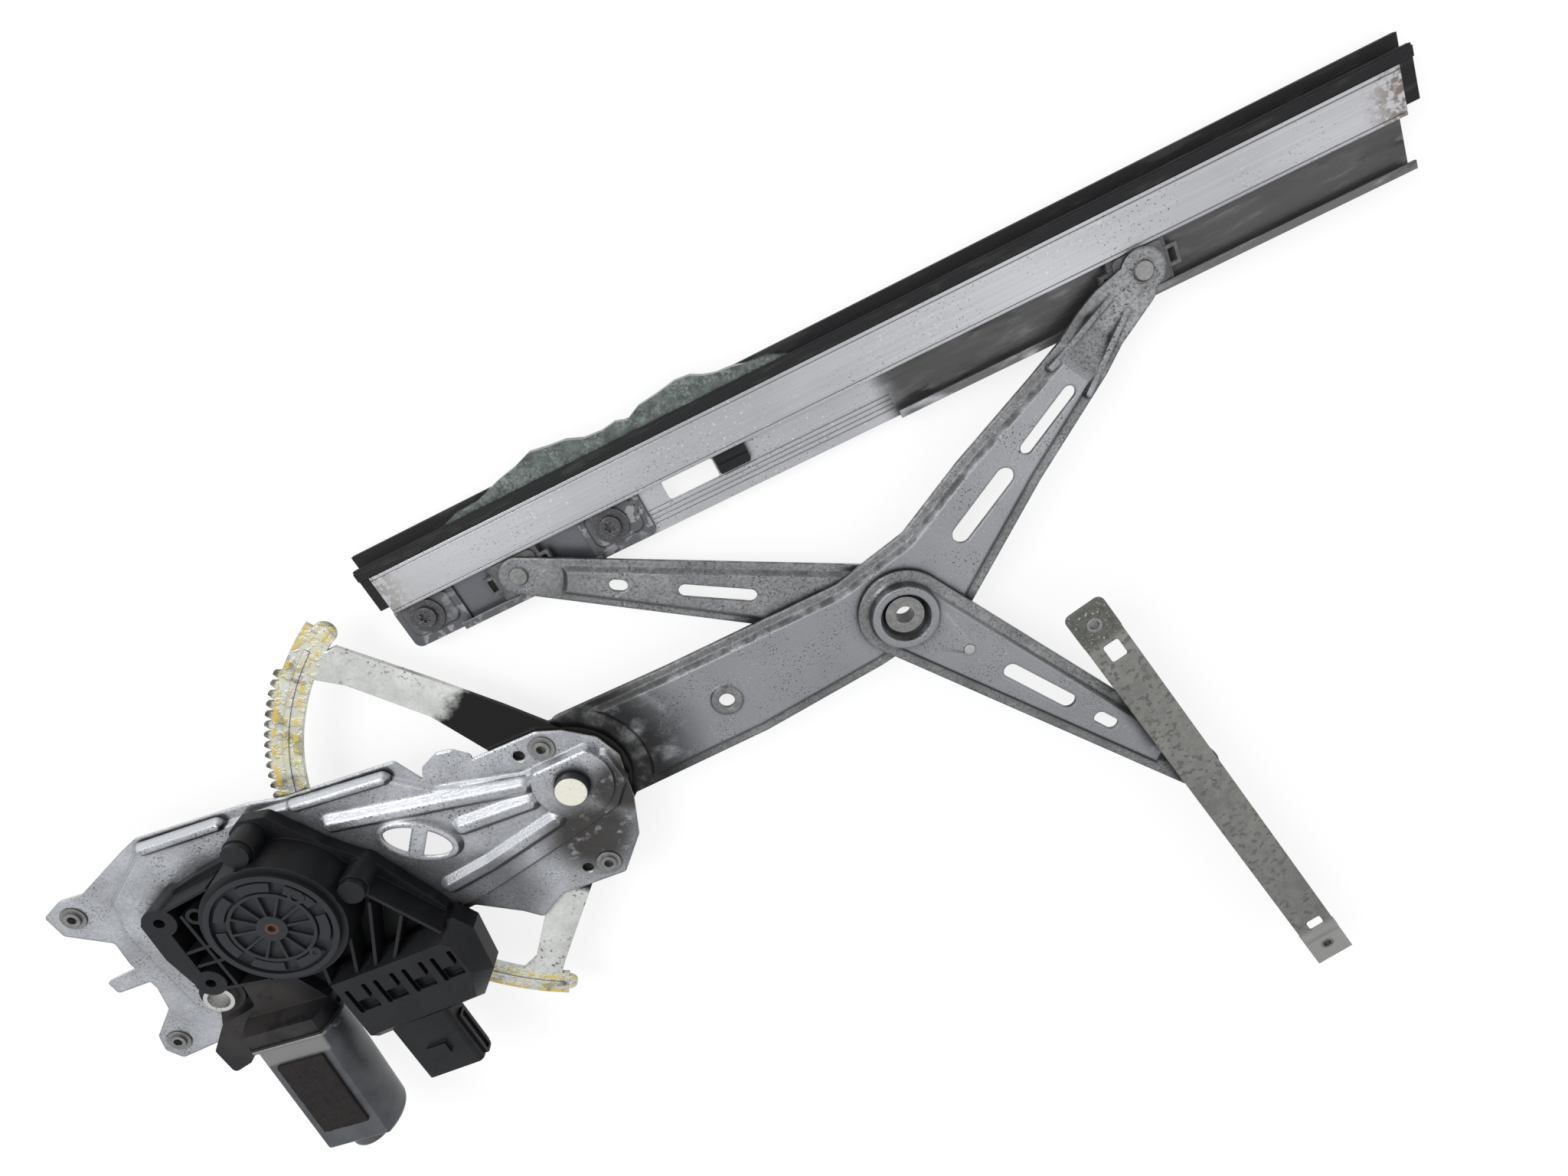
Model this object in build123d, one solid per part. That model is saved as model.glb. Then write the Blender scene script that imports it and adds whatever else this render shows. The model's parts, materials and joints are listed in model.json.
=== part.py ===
from build123d import *
import os
from math import acos, atan2, cos, degrees, hypot, pi, radians, sin, tan

# Power window regulator of the bent cross-arm kind, lying flat with its motor side up.
# Millimetres. The model is built about the main pivot: +X runs along the lift rail, +Y up the
# door and +Z from the arms towards the motor. At export it moves to the datum insert.

# Linkage, at rest
PIVOT = (0.0, 0.0)
ARM_REACH = 198.0  # main pivot to cross pivot, and cross pivot to guide slider
ARM_REACH_DEG = 2.4
LIFT_REACH = 194.5  # cross pivot to either lift slider
LIFT_REACH_DEG = 32.0
GUIDE_REACH_DEG = -56.0
GUIDE_RAIL_DEG = -77.3

# Sheet thicknesses and running gaps
ARM_SHEET = 2.2
PLATE_SHEET = 1.5
SECTOR_SHEET = 2.5
BRACKET_SHEET = 1.6
GUIDE_SHEET = 1.4
RUN_GAP = 0.3  # between faces that pass over each other
FIT_GAP = 0.05  # radial, shaft in bore
SLIDE_GAP = 0.2  # slider in its channel

# Arm pressing: the panel stands proud of the rim by this much
ARM_RISE = 2.8
ARM_RIM = 4.5
DRAFT = 42.0

# Levels of the stack, from the main arm outwards
MAIN_TOP = -4.0
MAIN_RIM_TOP = MAIN_TOP - ARM_RISE
MAIN_BOTTOM = MAIN_RIM_TOP - ARM_SHEET
SECTOR_TOP = MAIN_RIM_TOP + SECTOR_SHEET
FRONT_BOTTOM = MAIN_TOP + RUN_GAP
FRONT_RIM_TOP = FRONT_BOTTOM + ARM_SHEET
FRONT_TOP = FRONT_RIM_TOP + ARM_RISE
REAR_TOP = MAIN_BOTTOM - RUN_GAP - 0.1
REAR_RIM_TOP = REAR_TOP - ARM_RISE
REAR_BOTTOM = REAR_RIM_TOP - ARM_SHEET
RAIL_FRONT = REAR_BOTTOM - 0.5
FLANGE_BOTTOM = SECTOR_TOP + 1.0
FLANGE_TOP = FLANGE_BOTTOM + PLATE_SHEET
PLATEAU_RISE = 3.0
PLATEAU_TOP = FLANGE_TOP + PLATEAU_RISE
BOSS_TOP = PLATEAU_TOP + 2.0
PIN_TOP = BOSS_TOP + 7.0

# Toothed sector and pinion
MODULE = 2.0
SECTOR_TEETH_FULL = 158
PINION_TEETH = 10
PRESSURE_DEG = 25.0
ADDENDUM = 1.4
DEDENDUM = 2.2
TOOTH_SHARE = 0.455  # of the pitch, so the pair runs with backlash
MESH_DEG = 175.9
FIRST_TOOTH_DEG = 128.8
LAST_TOOTH_DEG = 218.0
SECTOR_START_DEG = 116.5
SECTOR_END_DEG = 238.0
SECTOR_HUB = 31.0
SECTOR_RIM = 15.3  # from the roots of the teeth inwards
RIB_INSET = 8.0
RIB_RISE = 0.5
SECTOR_PITCH = MODULE * SECTOR_TEETH_FULL / 2
SECTOR_ROOT = SECTOR_PITCH - DEDENDUM
SECTOR_INNER = SECTOR_ROOT - SECTOR_RIM
RIB_RADIUS = SECTOR_INNER + RIB_INSET
# Outlines of the two legs: angle, and share of the way from the hub to the rim
SECTOR_LEGS = [[(117.9, 0.98), (111.7, 0.56), (100.2, 0.23), (73, 0), (140.9, 0), (124.5, 0.46),
                (125.6, 0.86), (127.3, 1.01), (123.3, 1.05)],
               [(297.4, 0), (262.7, 0.15), (246.9, 0.39), (236.9, 0.905), (236.1, 1.03),
                (232.7, 1.07), (226.4, 1.03), (229.4, 0.91), (229.3, 0.61), (194.9, 0)]]

# Main arm
# Edge points, each stretch given from its own pivot
ROOT_EDGE = ([(-4, -33), (22, -26), (105, -24)], [(74, 35), (2, 36)])
CROSS_EDGE = ([(-22, -25), (31, -15)], [(53, 59), (16, 38), (-25, 28)])
END_EDGE = [(-77, -70), (-32, -36), (7, -10), (-4, 7), (-23, 1), (-65, -21)]
MAIN_ROOT_RADIUS = 35.0
MAIN_ROOT_PAD = 41.0
END_PAD_RADIUS = 10.5
END_PANEL_GAP = 24.0
JOGGLE_BACK = (53.5, 30.5)  # start and end of the joggle, back from the lift slider
END_SLOT = (77.6, 38.0, 6.5)  # back from the lift slider, length, width
MID_SLOT = (66.6, 44.0, 9.5)  # on from the cross pivot, length, width
MAIN_EYE = (94.5, 4.3)
EYE_RADIUS = 4.2
EYE_COLLAR = 9.0

# Cross arm
CROSS_DISC = 23.5
FRONT_SLOTS = [(69.0, 48.0, 8.5), (131.0, 15.0, 7.0)]  # distance from cross pivot, length, width
FRONT_HOLE_AT = 40.0
FRONT_HOLE_RADIUS = 2.8
REAR_SLOTS = [(145.0, 9.5, 6.5), (95.0, 40.0, 7.0)]
RING_OUTER = 18.4
RING_INNER = 12.2
RING_RISE = 6.0
CROSS_RIVET = 6.0
CROSS_RIVET_EYE = 2.2
CROSS_RIVET_HEAD = 10.0
SLEEVE_WALL = 2.0
SLEEVE_FLANGE = 13.4  # clear of the slope round the arm's panel
END_RIVET = 3.0
END_RIVET_HEAD = 5.0
GUIDE_HALF_WIDTH = 12.5
LIFT_HALF_WIDTH = 9.8

# Pivot pin
PIN_RADIUS = 8.95
PIN_COLLAR = 0.75
BUSH_FLANGE = 14.0

# Sliders and channels
SLIDER_LENGTH = 38.0
SLIDER_FLANGE = 4.2
SLIDER_NECK_WIDTH = 19.0
CHANNEL_WIDTH = 24.4
CHANNEL_MOUTH = 20.0
LIP_SHEET = 1.6
GUIDE_CHANNEL_WIDTH = 19.2
GUIDE_MOUTH = 14.0
GUIDE_UP = 122.0  # slider to the upper insert
GUIDE_DOWN = 163.7

# Lift rail
RAIL_START = -34.0
RAIL_END = 490.0
LIP_START = 237.0
BAND_HEIGHT = 21.5
RAIL_WALL = 1.6
RUBBER_OVERHANG = (6.0, 7.0)  # past the left and right ends of the rail
POCKET_DEPTH = 13.7
WINDOW_AT = (131.0, 3.5)  # x, and y from the slider line
WINDOW_SIZE = (28.0, 10.5)
CLIP_AT = (154.5, 5.5)
CLIP_SIZE = (16.5, 12.0)
GLASS_SHEET = 4.8
GLASS_EDGE = [(4, 146), (20, 151.5), (33, 152), (48, 156.6), (58, 158.5), (68, 161.8), (78, 160.2),
              (86.7, 159.3), (95, 156), (104.4, 155.3), (112, 156.4), (118, 154.5), (126, 158.2),
              (136, 159.2), (147, 161), (154.5, 160.2), (160, 157.4), (165.7, 155.7), (174, 155),
              (182, 153.3), (192, 152.4), (201.4, 148)]

# Bracket and its screws
BRACKET_X = (-37.0, 104.0)
BRACKET_FEET = (-3.0, 70.0)
SCREWS_X = (-21.5, 85.4)
SCREW_Y = 1.2
SCREW_SHANK = 3.0
SCREW_HEAD = 5.6
SCREW_WASHER = 9.0
TORX_RADIUS = 3.2

# Base plate
PLATE_OUTLINE = [(-37, 36), (-3, 35), (10, 29), (24, 17), (29, 2), (23, -24), (13, -48),
                 (-6, -67), (-45, -64), (-63, -73), (-71, -64), (-92, -47), (-180, -50),
                 (-255, -60), (-283, -62), (-306, -62), (-311, -52), (-307, -41), (-288, -27),
                 (-283, -11), (-284, 10), (-281, 26), (-301, 43), (-301, 58), (-287, 63),
                 (-273, 61), (-235, 74), (-224, 77), (-160, 68), (-140, 62), (-77, 54),
                 (-70, 37)]
LEAF_OUTLINE = [(-72, 34), (-66, 44), (-55, 48), (-47, 46), (-36, 35)]
TAB_OUTLINE = [(-280, -6), (-304, -4), (-304, 5.5), (-280, 6)]
PLATEAU_OUTLINE = [(2, 17), (26, 9), (27, -12), (14, -26), (-25, -34), (-82, -44), (-118, -43),
                   (-180, -46), (-258, -54), (-272, -30), (-270, 28), (-262, 50), (-226, 70.5),
                   (-150, 61), (-83, 47.5), (-66, 31), (-22, 17)]
INSERTS = [(-4.8, 24.9), (-11.0, -56.6), (-287.6, 50.4), (-298.8, -49.5)]
LOCATING_HOLES = [(-17.9, 26.3), (-23.3, -54.6)]
RIB_LINES = [[(-24, 11), (-126, 38)], [(-26, 0.5), (-66, 4)], [(-20, -16), (-66, -24), (-93, -26.5)]]
RIB_WIDTH = 12.0
RIB_HEIGHT = 3.6
RIDGE_LINES = [[(-222, 70.5), (-178, 65)], [(-136, 56), (-86, 48.5)]]
WINDOW_RING = (-91.2, 7.9)
RING_DEG = -41.4
RING_SIZE = (24.0, 14.2)  # half lengths at its foot
RING_OPENING = (18.6, 8.8)
RING_BRIDGE = 8.2
RING_HEIGHT = 3.2
THREAD_RADIUS = 2.5
INSERT_RADIUS = 4.5
INSERT_HEAD = 7.0

# Gearbox and motor
MESH_RADIUS = (SECTOR_TEETH_FULL + PINION_TEETH) * MODULE / 2
DRUM_RADIUS = 37.5
DRUM_TOP = 30.0
DRUM_WALL = 4.0
DRUM_FLOOR = 8.0
COVER_RADIUS = 34.0
COVER_TOP = 33.0
SPOKES = 12
SHAFT_RADIUS = 5.0
WHEEL_RADIUS = 31.0
WHEEL_TEETH = 52
SKIRT_HEIGHT = 7.0
RIB_WALL = 1.8
FRAME_TOP = 23.0
SKIRT_OUTLINE = [(-162, 65), (-148, 61), (-132, 32), (-116, 10), (-99, -37), (-182, -44),
                 (-200, -66), (-246, -62), (-262, -50), (-251, -34), (-254, 8), (-250, 34),
                 (-232, 43), (-205, 47), (-176, 49), (-170, 61)]
BLOCK_OUTLINE = [(-222, -21), (-196, -24), (-184, -62), (-236, -54), (-255, -72), (-268, -74),
                 (-267, -55), (-251, -41), (-226, -38)]
BLOCK_TOP = 16.0
SCREW_BOSSES = [(-224.7, 37.1), (-228.5, -8.6), (-205.5, 32.0)]
BUSHING_AT = (-239.0, -24.0)
BUSHING_RADIUS = 8.5
BUSHING_BORE = 6.2
BUSHING_TOP = 17.0
PLUGS = [(-160.3, 55.2), (-123.8, 8.8)]
PLUG_RADIUS = 7.0
PLUG_TOP = 27.0
FAN_RIBS = [((-131, 11), (-157, -41)), ((-123, -4), (-145, -41)), ((-113.5, -19), (-133, -41)),
            ((-163, -8), (-174, -40)), ((-124, 9), (-102, -38))]
FRAME_RIBS = [((-225, 30), (-229, -1)), ((-212, 35), (-217, -15)), ((-225, 14), (-206, 12)),
              ((-228, -14), (-200, -22)), ((-226, 4), (-200, 0)), ((-221, 42), (-190, 44))]
MODULE_BASE = [(-180, -37), (-97, -38), (-91, -50), (-97, -80), (-112, -94), (-182, -92)]
MODULE_FACE = [(-173, -40), (-106, -44), (-102, -48), (-102, -69), (-109, -85), (-176, -81)]
MODULE_TOP = 25.0
MODULE_SHOULDER = 14.0
SLOT_PAIRS = 4
SLOT_PITCH = 17.7
SLOT_START = (-168.5, -56.0)
SOCKET_AT = (-153.0, -109.0)
SOCKET_SIZE = (36.0, 32.0, 17.0)
SOCKET_Z = 11.0
SOCKET_TILT = -4.0
CAN_AT = (-219.0, -103.0)
CAN_DEG = -99.0
CAN_BACK = 46.0
CAN_FRONT = 42.5
CAN_RADIUS = 24.0
CAN_FLAT = 15.0
CAN_Z = 16.0
CUP_RADIUS = 12.5
CUP_LENGTH = 7.5
TAB_SIZE = (7.0, 5.0, 1.8)
GASKET = 1.4
PAD_SIZE = (57.0, 28.0)
PAD_SHEET = 2.0
PAD_START = 14.5  # from the can's flange

# Datum: the base insert beside the main pivot, on the face that seats on the door
DATUM = (INSERTS[0][0], INSERTS[0][1], FLANGE_TOP)
BELOW = -40.0
ABOVE = 60.0


def polar(radius, angle, centre=(0.0, 0.0)):
    return (centre[0] + radius * cos(radians(angle)), centre[1] + radius * sin(radians(angle)))


CROSS = polar(ARM_REACH, ARM_REACH_DEG)
LIFT_RIGHT = polar(LIFT_REACH, LIFT_REACH_DEG, CROSS)
LIFT_LEFT = polar(LIFT_REACH, 180 - LIFT_REACH_DEG, CROSS)
GUIDE = polar(ARM_REACH, GUIDE_REACH_DEG, CROSS)
MESH = polar(MESH_RADIUS, MESH_DEG)
SLIDER_Y = LIFT_RIGHT[1]


def prism(sketch, low, high):
    return Pos(0, 0, low) * extrude(sketch, amount=high - low, dir=(0, 0, 1))


def bump(sketch, low, high, draft=DRAFT):
    return Pos(0, 0, low) * extrude(sketch, amount=high - low, dir=(0, 0, 1), taper=draft)


def disc(centre, radius):
    return Pos(*centre) * Circle(radius)


def outline(points, radius=0.0):
    turns = sum(x0 * y1 - x1 * y0 for (x0, y0), (x1, y1) in zip(points, points[1:] + points[:1]))
    shape = Polygon(*(points if turns > 0 else points[::-1]), align=None)
    if radius:
        shape = fillet(shape.vertices(), radius)
    return shape


def bar(start, end, width):
    """A straight bar with round ends."""
    length = hypot(end[0] - start[0], end[1] - start[1])
    turn = degrees(atan2(end[1] - start[1], end[0] - start[0]))
    middle = ((start[0] + end[0]) / 2, (start[1] + end[1]) / 2)
    return Pos(*middle) * Rot(0, 0, turn) * SlotCenterToCenter(length, width)


def taper_bar(start, start_radius, end, end_radius):
    """Two discs and the tangents that join them."""
    length = hypot(end[0] - start[0], end[1] - start[1])
    turn = degrees(atan2(end[1] - start[1], end[0] - start[0]))
    lean = degrees(acos((start_radius - end_radius) / length))
    sides = [polar(start_radius, turn + lean, start), polar(end_radius, turn + lean, end),
             polar(end_radius, turn - lean, end), polar(start_radius, turn - lean, start)]
    return outline(sides) + disc(start, start_radius) + disc(end, end_radius)


def wire_band(points, width):
    band = bar(points[0], points[1], width)
    for start, end in zip(points[1:], points[2:]):
        band += bar(start, end, width)
    return band


def pressed(form, sheet):
    """The sheet that a press leaves of a solid form: its top skin."""
    return form - Pos(0, 0, -sheet) * form


def slot_along(origin, angle, distance, length, width):
    return Pos(*polar(distance, angle, origin)) * Rot(0, 0, angle) * SlotOverall(length, width)


def tube(outer, inner, low, high, centre=(0.0, 0.0)):
    return prism(disc(centre, outer) - disc(centre, inner), low, high)


# Main arm and its pieces

def main_outline():
    lower = ROOT_EDGE[0] + shifted(CROSS_EDGE[0], CROSS) + shifted(END_EDGE, LIFT_RIGHT)
    return lower + shifted(CROSS_EDGE[1], CROSS) + ROOT_EDGE[1]


def shifted(points, centre):
    return [(centre[0] + x, centre[1] + y) for x, y in points]


def main_arm():
    joggle_start = LIFT_REACH - JOGGLE_BACK[0]
    joggle_end = LIFT_REACH - JOGGLE_BACK[1]
    edge = outline(main_outline(), 9.0) + disc(PIVOT, MAIN_ROOT_RADIUS) + disc(LIFT_RIGHT, END_PAD_RADIUS)
    panel = offset(edge, -ARM_RIM) - disc(PIVOT, MAIN_ROOT_PAD) - disc(LIFT_RIGHT, END_PANEL_GAP)
    form = prism(edge, BELOW, MAIN_RIM_TOP) + bump(panel, MAIN_RIM_TOP, MAIN_TOP)
    form += bump(disc(MAIN_EYE, EYE_COLLAR), MAIN_TOP, MAIN_TOP + 1.2)
    along = (cos(radians(LIFT_REACH_DEG)), sin(radians(LIFT_REACH_DEG)), 0)
    side = Plane(origin=(*CROSS, 0), x_dir=along, z_dir=(along[1], -along[0], 0))
    beyond = LIFT_REACH + 100
    fall = Polygon((joggle_start, MAIN_TOP), (joggle_end, REAR_RIM_TOP), (beyond, REAR_RIM_TOP),
                   (beyond, ABOVE), (joggle_start, ABOVE), align=None)
    form -= extrude(side * fall, amount=60, both=True)
    for offset_y in (-1, 1):
        start = polar(joggle_start - 6, LIFT_REACH_DEG + 5.1 * offset_y, CROSS)
        end = polar(LIFT_REACH - 15, LIFT_REACH_DEG + 1.55 * offset_y, CROSS)
        form += joggle_rib(start, end)
    arm = pressed(form, ARM_SHEET)
    for distance, (length, width) in ((LIFT_REACH - END_SLOT[0], END_SLOT[1:]), (MID_SLOT[0], MID_SLOT[1:])):
        arm -= prism(slot_along(CROSS, LIFT_REACH_DEG - 1.0, distance, length, width), BELOW, ABOVE)
    arm -= prism(disc(MAIN_EYE, EYE_RADIUS), BELOW, ABOVE)
    arm -= prism(disc(PIVOT, PIN_RADIUS), BELOW, ABOVE)
    arm -= prism(disc(CROSS, CROSS_RIVET + SLEEVE_WALL + FIT_GAP), BELOW, ABOVE)
    arm -= prism(disc(LIFT_RIGHT, END_RIVET), BELOW, ABOVE)
    for centre in sector_rivet_places():
        arm -= prism(disc(centre, SECTOR_RIVET), BELOW, ABOVE)
    return arm


def joggle_rib(start, end):
    """A stiffening rib that follows the fall of the arm to its end pad."""
    length = hypot(end[0] - start[0], end[1] - start[1])
    turn = degrees(atan2(end[1] - start[1], end[0] - start[0]))
    fall = degrees(atan2(MAIN_TOP - REAR_RIM_TOP, length))
    middle = ((start[0] + end[0]) / 2, (start[1] + end[1]) / 2, (MAIN_TOP + REAR_RIM_TOP) / 2 - 2.2)
    return Pos(*middle) * Rot(0, 0, turn) * Rot(0, fall, 0) * extrude(
        SlotOverall(length, 4.4), amount=2.2, taper=20)


SECTOR_RIVET = 3.0


def sector_rivet_places():
    return [polar(22.0, angle) for angle in (80, 200, 320)]


def sector_gear():
    pitch = SECTOR_PITCH
    root = SECTOR_ROOT
    rim = ring_arc(SECTOR_INNER, root, SECTOR_START_DEG, SECTOR_END_DEG)
    tip_of_start = polar(SECTOR_INNER + 5.5, SECTOR_START_DEG)
    tip_of_end = polar(SECTOR_INNER + 7.0, SECTOR_END_DEG)
    plate = rim + disc(tip_of_start, 6.0) + disc(tip_of_end, 5.0) + disc(PIVOT, SECTOR_HUB)
    for leg in SECTOR_LEGS:
        plate += outline([polar(SECTOR_HUB + share * (SECTOR_INNER - SECTOR_HUB), angle)
                          for angle, share in leg])
    count = int((LAST_TOOTH_DEG - FIRST_TOOTH_DEG) / (360 / SECTOR_TEETH_FULL))
    thick = TOOTH_SHARE * pi * MODULE
    lean = tan(radians(PRESSURE_DEG))
    for n in range(count + 1):
        angle = FIRST_TOOTH_DEG + n * 360 / SECTOR_TEETH_FULL
        low = thick / 2 + (DEDENDUM + 0.4) * lean
        high = thick / 2 - ADDENDUM * lean
        tooth = Polygon((root - 0.4, -low), (pitch + ADDENDUM, -high), (pitch + ADDENDUM, high),
                        (root - 0.4, low), align=None)
        plate += Rot(0, 0, angle) * tooth
    gear = prism(plate, MAIN_RIM_TOP, SECTOR_TOP)
    gear += prism(ring_arc(RIB_RADIUS - 1.4, RIB_RADIUS + 1.4, SECTOR_START_DEG + 5, SECTOR_END_DEG - 1),
                  SECTOR_TOP, SECTOR_TOP + RIB_RISE)
    gear -= prism(disc(PIVOT, PIN_RADIUS), BELOW, ABOVE)
    for centre in sector_rivet_places():
        gear -= prism(disc(centre, SECTOR_RIVET), BELOW, ABOVE)
    return gear


def ring_arc(inner, outer, start, end):
    """A stretch of a flat ring, given by its angles."""
    reach = outer * 2
    steps = 4
    wedge = [(0, 0)] + [polar(reach, start + (end - start) * n / steps) for n in range(steps + 1)]
    return (Circle(outer) - Circle(inner)) & Polygon(*wedge, align=None)


def pinion_gear():
    """Involute pinion on its shaft, in mesh with the sector at rest."""
    pitch = MODULE * PINION_TEETH / 2
    base = pitch * cos(radians(PRESSURE_DEG))
    outer = pitch + ADDENDUM + 0.3
    root = pitch - DEDENDUM
    thick = TOOTH_SHARE * 2 * pi / PINION_TEETH
    involute = tan(radians(PRESSURE_DEG)) - radians(PRESSURE_DEG)
    flank = []
    for n in range(5):
        radius = base + (outer - base) * n / 4
        roll = acos(base / radius)
        half = thick / 2 + involute - (tan(roll) - roll)
        flank.append((radius, half))
    right = [(root - 0.3, -flank[0][1])] + [(r, -a) for r, a in flank]
    left = [(r, a) for r, a in reversed(flank)] + [(root - 0.3, flank[0][1])]
    tooth = Polygon(*[(r * cos(a), r * sin(a)) for r, a in right + left], align=None)
    teeth = Circle(root)
    pitch_deg = 360 / SECTOR_TEETH_FULL
    nearest = round((MESH_DEG - FIRST_TOOTH_DEG) / pitch_deg)
    lead = FIRST_TOOTH_DEG + nearest * pitch_deg - MESH_DEG
    gap = MESH_DEG + 180 - lead * SECTOR_TEETH_FULL / PINION_TEETH
    for n in range(PINION_TEETH):
        teeth += Rot(0, 0, gap + (n + 0.5) * 360 / PINION_TEETH) * tooth
    gear = prism(teeth, MAIN_RIM_TOP - 1.0, SECTOR_TOP + 0.8)
    gear += prism(Circle(SHAFT_RADIUS), SECTOR_TOP + 0.8, WHEEL_LOW + 9.0)
    return Pos(*MESH) * gear


WHEEL_LOW = DRUM_FLOOR + 2.0


def worm_wheel():
    rim = Circle(WHEEL_RADIUS - 1.0)
    for n in range(WHEEL_TEETH):
        rim += Rot(0, 0, n * 360 / WHEEL_TEETH) * Pos(WHEEL_RADIUS - 1.0, 0) * Rectangle(2.0, 1.9)
    wheel = prism(rim, WHEEL_LOW, WHEEL_LOW + 9.0)
    wheel -= prism(Circle(WHEEL_RADIUS - 4.5) - Circle(9.0), WHEEL_LOW + 5.0, WHEEL_LOW + 9.0)
    wheel -= prism(Circle(SHAFT_RADIUS), WHEEL_LOW, WHEEL_LOW + 9.0)
    return Pos(*MESH) * wheel


def pivot_pin():
    pin = prism(disc(PIVOT, PIN_RADIUS), MAIN_BOTTOM, PIN_TOP)
    pin = chamfer(pin.edges().group_by(Axis.Z)[-1], 0.6)
    return pin


def pivot_bushing():
    """Flanged bush in the boss: the pin turns in it and it spaces the plate off the sector."""
    bore = PIN_RADIUS + FIT_GAP
    low = SECTOR_TOP + RUN_GAP
    bush = tube(BUSH_FLANGE, bore, low, BOSS_TOP - PLATE_SHEET)
    return bush + tube(PIN_RADIUS + PIN_COLLAR, bore, BOSS_TOP - PLATE_SHEET, BOSS_TOP + 0.4)


def sector_rivets():
    rivets = []
    for centre in sector_rivet_places():
        rivets.append(prism(disc(centre, SECTOR_RIVET), MAIN_BOTTOM, SECTOR_TOP))
    return Compound(children=rivets)


def end_rivet(centre, pad_top, slider_low, slider_high):
    """Rivet through an arm's end pad into its slider."""
    shank = prism(disc(centre, END_RIVET), min(slider_low, pad_top), max(slider_high, pad_top))
    return shank


# Cross arms

def front_cross_arm():
    edge = taper_bar(CROSS, CROSS_DISC, GUIDE, GUIDE_HALF_WIDTH)
    panel = offset(edge, -ARM_RIM) - disc(GUIDE, END_PANEL_GAP)
    form = prism(edge, BELOW, FRONT_RIM_TOP) + bump(panel, FRONT_RIM_TOP, FRONT_TOP)
    form += bump(disc(CROSS, RING_OUTER), FRONT_RIM_TOP, FRONT_RIM_TOP + RING_RISE, 14)
    dish = Pos(*CROSS, FRONT_RIM_TOP) * Cone(RING_INNER - 1.5, RING_INNER + 1.2, RING_RISE + 1,
                                             align=(Align.CENTER, Align.CENTER, Align.MIN))
    arm = pressed(form - dish, ARM_SHEET)
    arm = arm.cut(prism(disc(CROSS, CROSS_RIVET), BELOW, ABOVE))
    for distance, length, width in FRONT_SLOTS:
        arm -= prism(slot_along(CROSS, GUIDE_REACH_DEG, distance, length, width), BELOW, ABOVE)
    hole = polar(FRONT_HOLE_AT, GUIDE_REACH_DEG, CROSS)
    arm -= prism(disc(hole, FRONT_HOLE_RADIUS), BELOW, ABOVE)
    arm -= prism(disc(GUIDE, END_RIVET), BELOW, ABOVE)
    return arm


def rear_cross_arm():
    edge = taper_bar(CROSS, CROSS_DISC - 2, LIFT_LEFT, LIFT_HALF_WIDTH)
    panel = offset(edge, -ARM_RIM + 1) - disc(LIFT_LEFT, END_PANEL_GAP - 2)
    form = prism(edge, BELOW, REAR_RIM_TOP) + bump(panel, REAR_RIM_TOP, REAR_TOP)
    arm = pressed(form, ARM_SHEET)
    for distance, length, width in REAR_SLOTS:
        slot = slot_along(CROSS, 180 - LIFT_REACH_DEG, distance, length, width)
        arm -= prism(slot, BELOW, ABOVE)
    arm -= prism(disc(CROSS, CROSS_RIVET), BELOW, ABOVE)
    arm -= prism(disc(LIFT_LEFT, END_RIVET), BELOW, ABOVE)
    return arm


def cross_sleeve():
    """Steel sleeve that the main arm turns on, with a flange below the arm."""
    sleeve = tube(CROSS_RIVET + SLEEVE_WALL, CROSS_RIVET, REAR_TOP, FRONT_BOTTOM, CROSS)
    return sleeve + tube(SLEEVE_FLANGE, CROSS_RIVET, REAR_TOP, MAIN_TOP - ARM_SHEET - RUN_GAP, CROSS)


def cross_rivet():
    rivet = prism(disc(CROSS, CROSS_RIVET), REAR_TOP - ARM_SHEET, FRONT_RIM_TOP)
    rivet += prism(disc(CROSS, CROSS_RIVET_HEAD), FRONT_RIM_TOP, FRONT_RIM_TOP + 1.8)
    rivet += prism(disc(CROSS, CROSS_RIVET_HEAD - 1.5), REAR_TOP - ARM_SHEET - 1.6, REAR_TOP - ARM_SHEET)
    return rivet - prism(disc(CROSS, CROSS_RIVET_EYE), BELOW, ABOVE)


# Sliders

def slider(centre, angle, pad_face, channel_width, mouth, up):
    """Moulded slider: a flange caught in the channel, a neck through its mouth and a spring
    loop at each end. It lies below the arm's pad, or above it where up is 1."""
    low = SLIDE_GAP
    neck = SLIDER_REACH - SLIDE_GAP
    flange_width = channel_width - 2 * SLIDE_GAP
    body = prism(RectangleRounded(SLIDER_LENGTH - 14, mouth - 2 * SLIDE_GAP - 0.6, 3), low, neck + 0.4)
    body += prism(RectangleRounded(SLIDER_LENGTH - 10, flange_width, 2.5), neck, neck + SLIDER_FLANGE)
    loop = Rectangle(6.5, 10.0) - Rectangle(3.2, 6.4)
    for side in (-1, 1):
        body += prism(Pos(side * (SLIDER_LENGTH / 2 - 3.6), 0) * loop, neck - 1.0, neck + 2.6)
    body -= prism(Circle(END_RIVET + FIT_GAP), BELOW, ABOVE)
    if not up:
        body = Rot(180, 0, 0) * body
    return Pos(*centre, pad_face) * Rot(0, 0, angle) * body


SLIDER_REACH = 2.5  # pad face to the top of the channel's lips
GUIDE_SLIDER_REACH = FRONT_TOP - FRONT_RIM_TOP + 2.0


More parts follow.
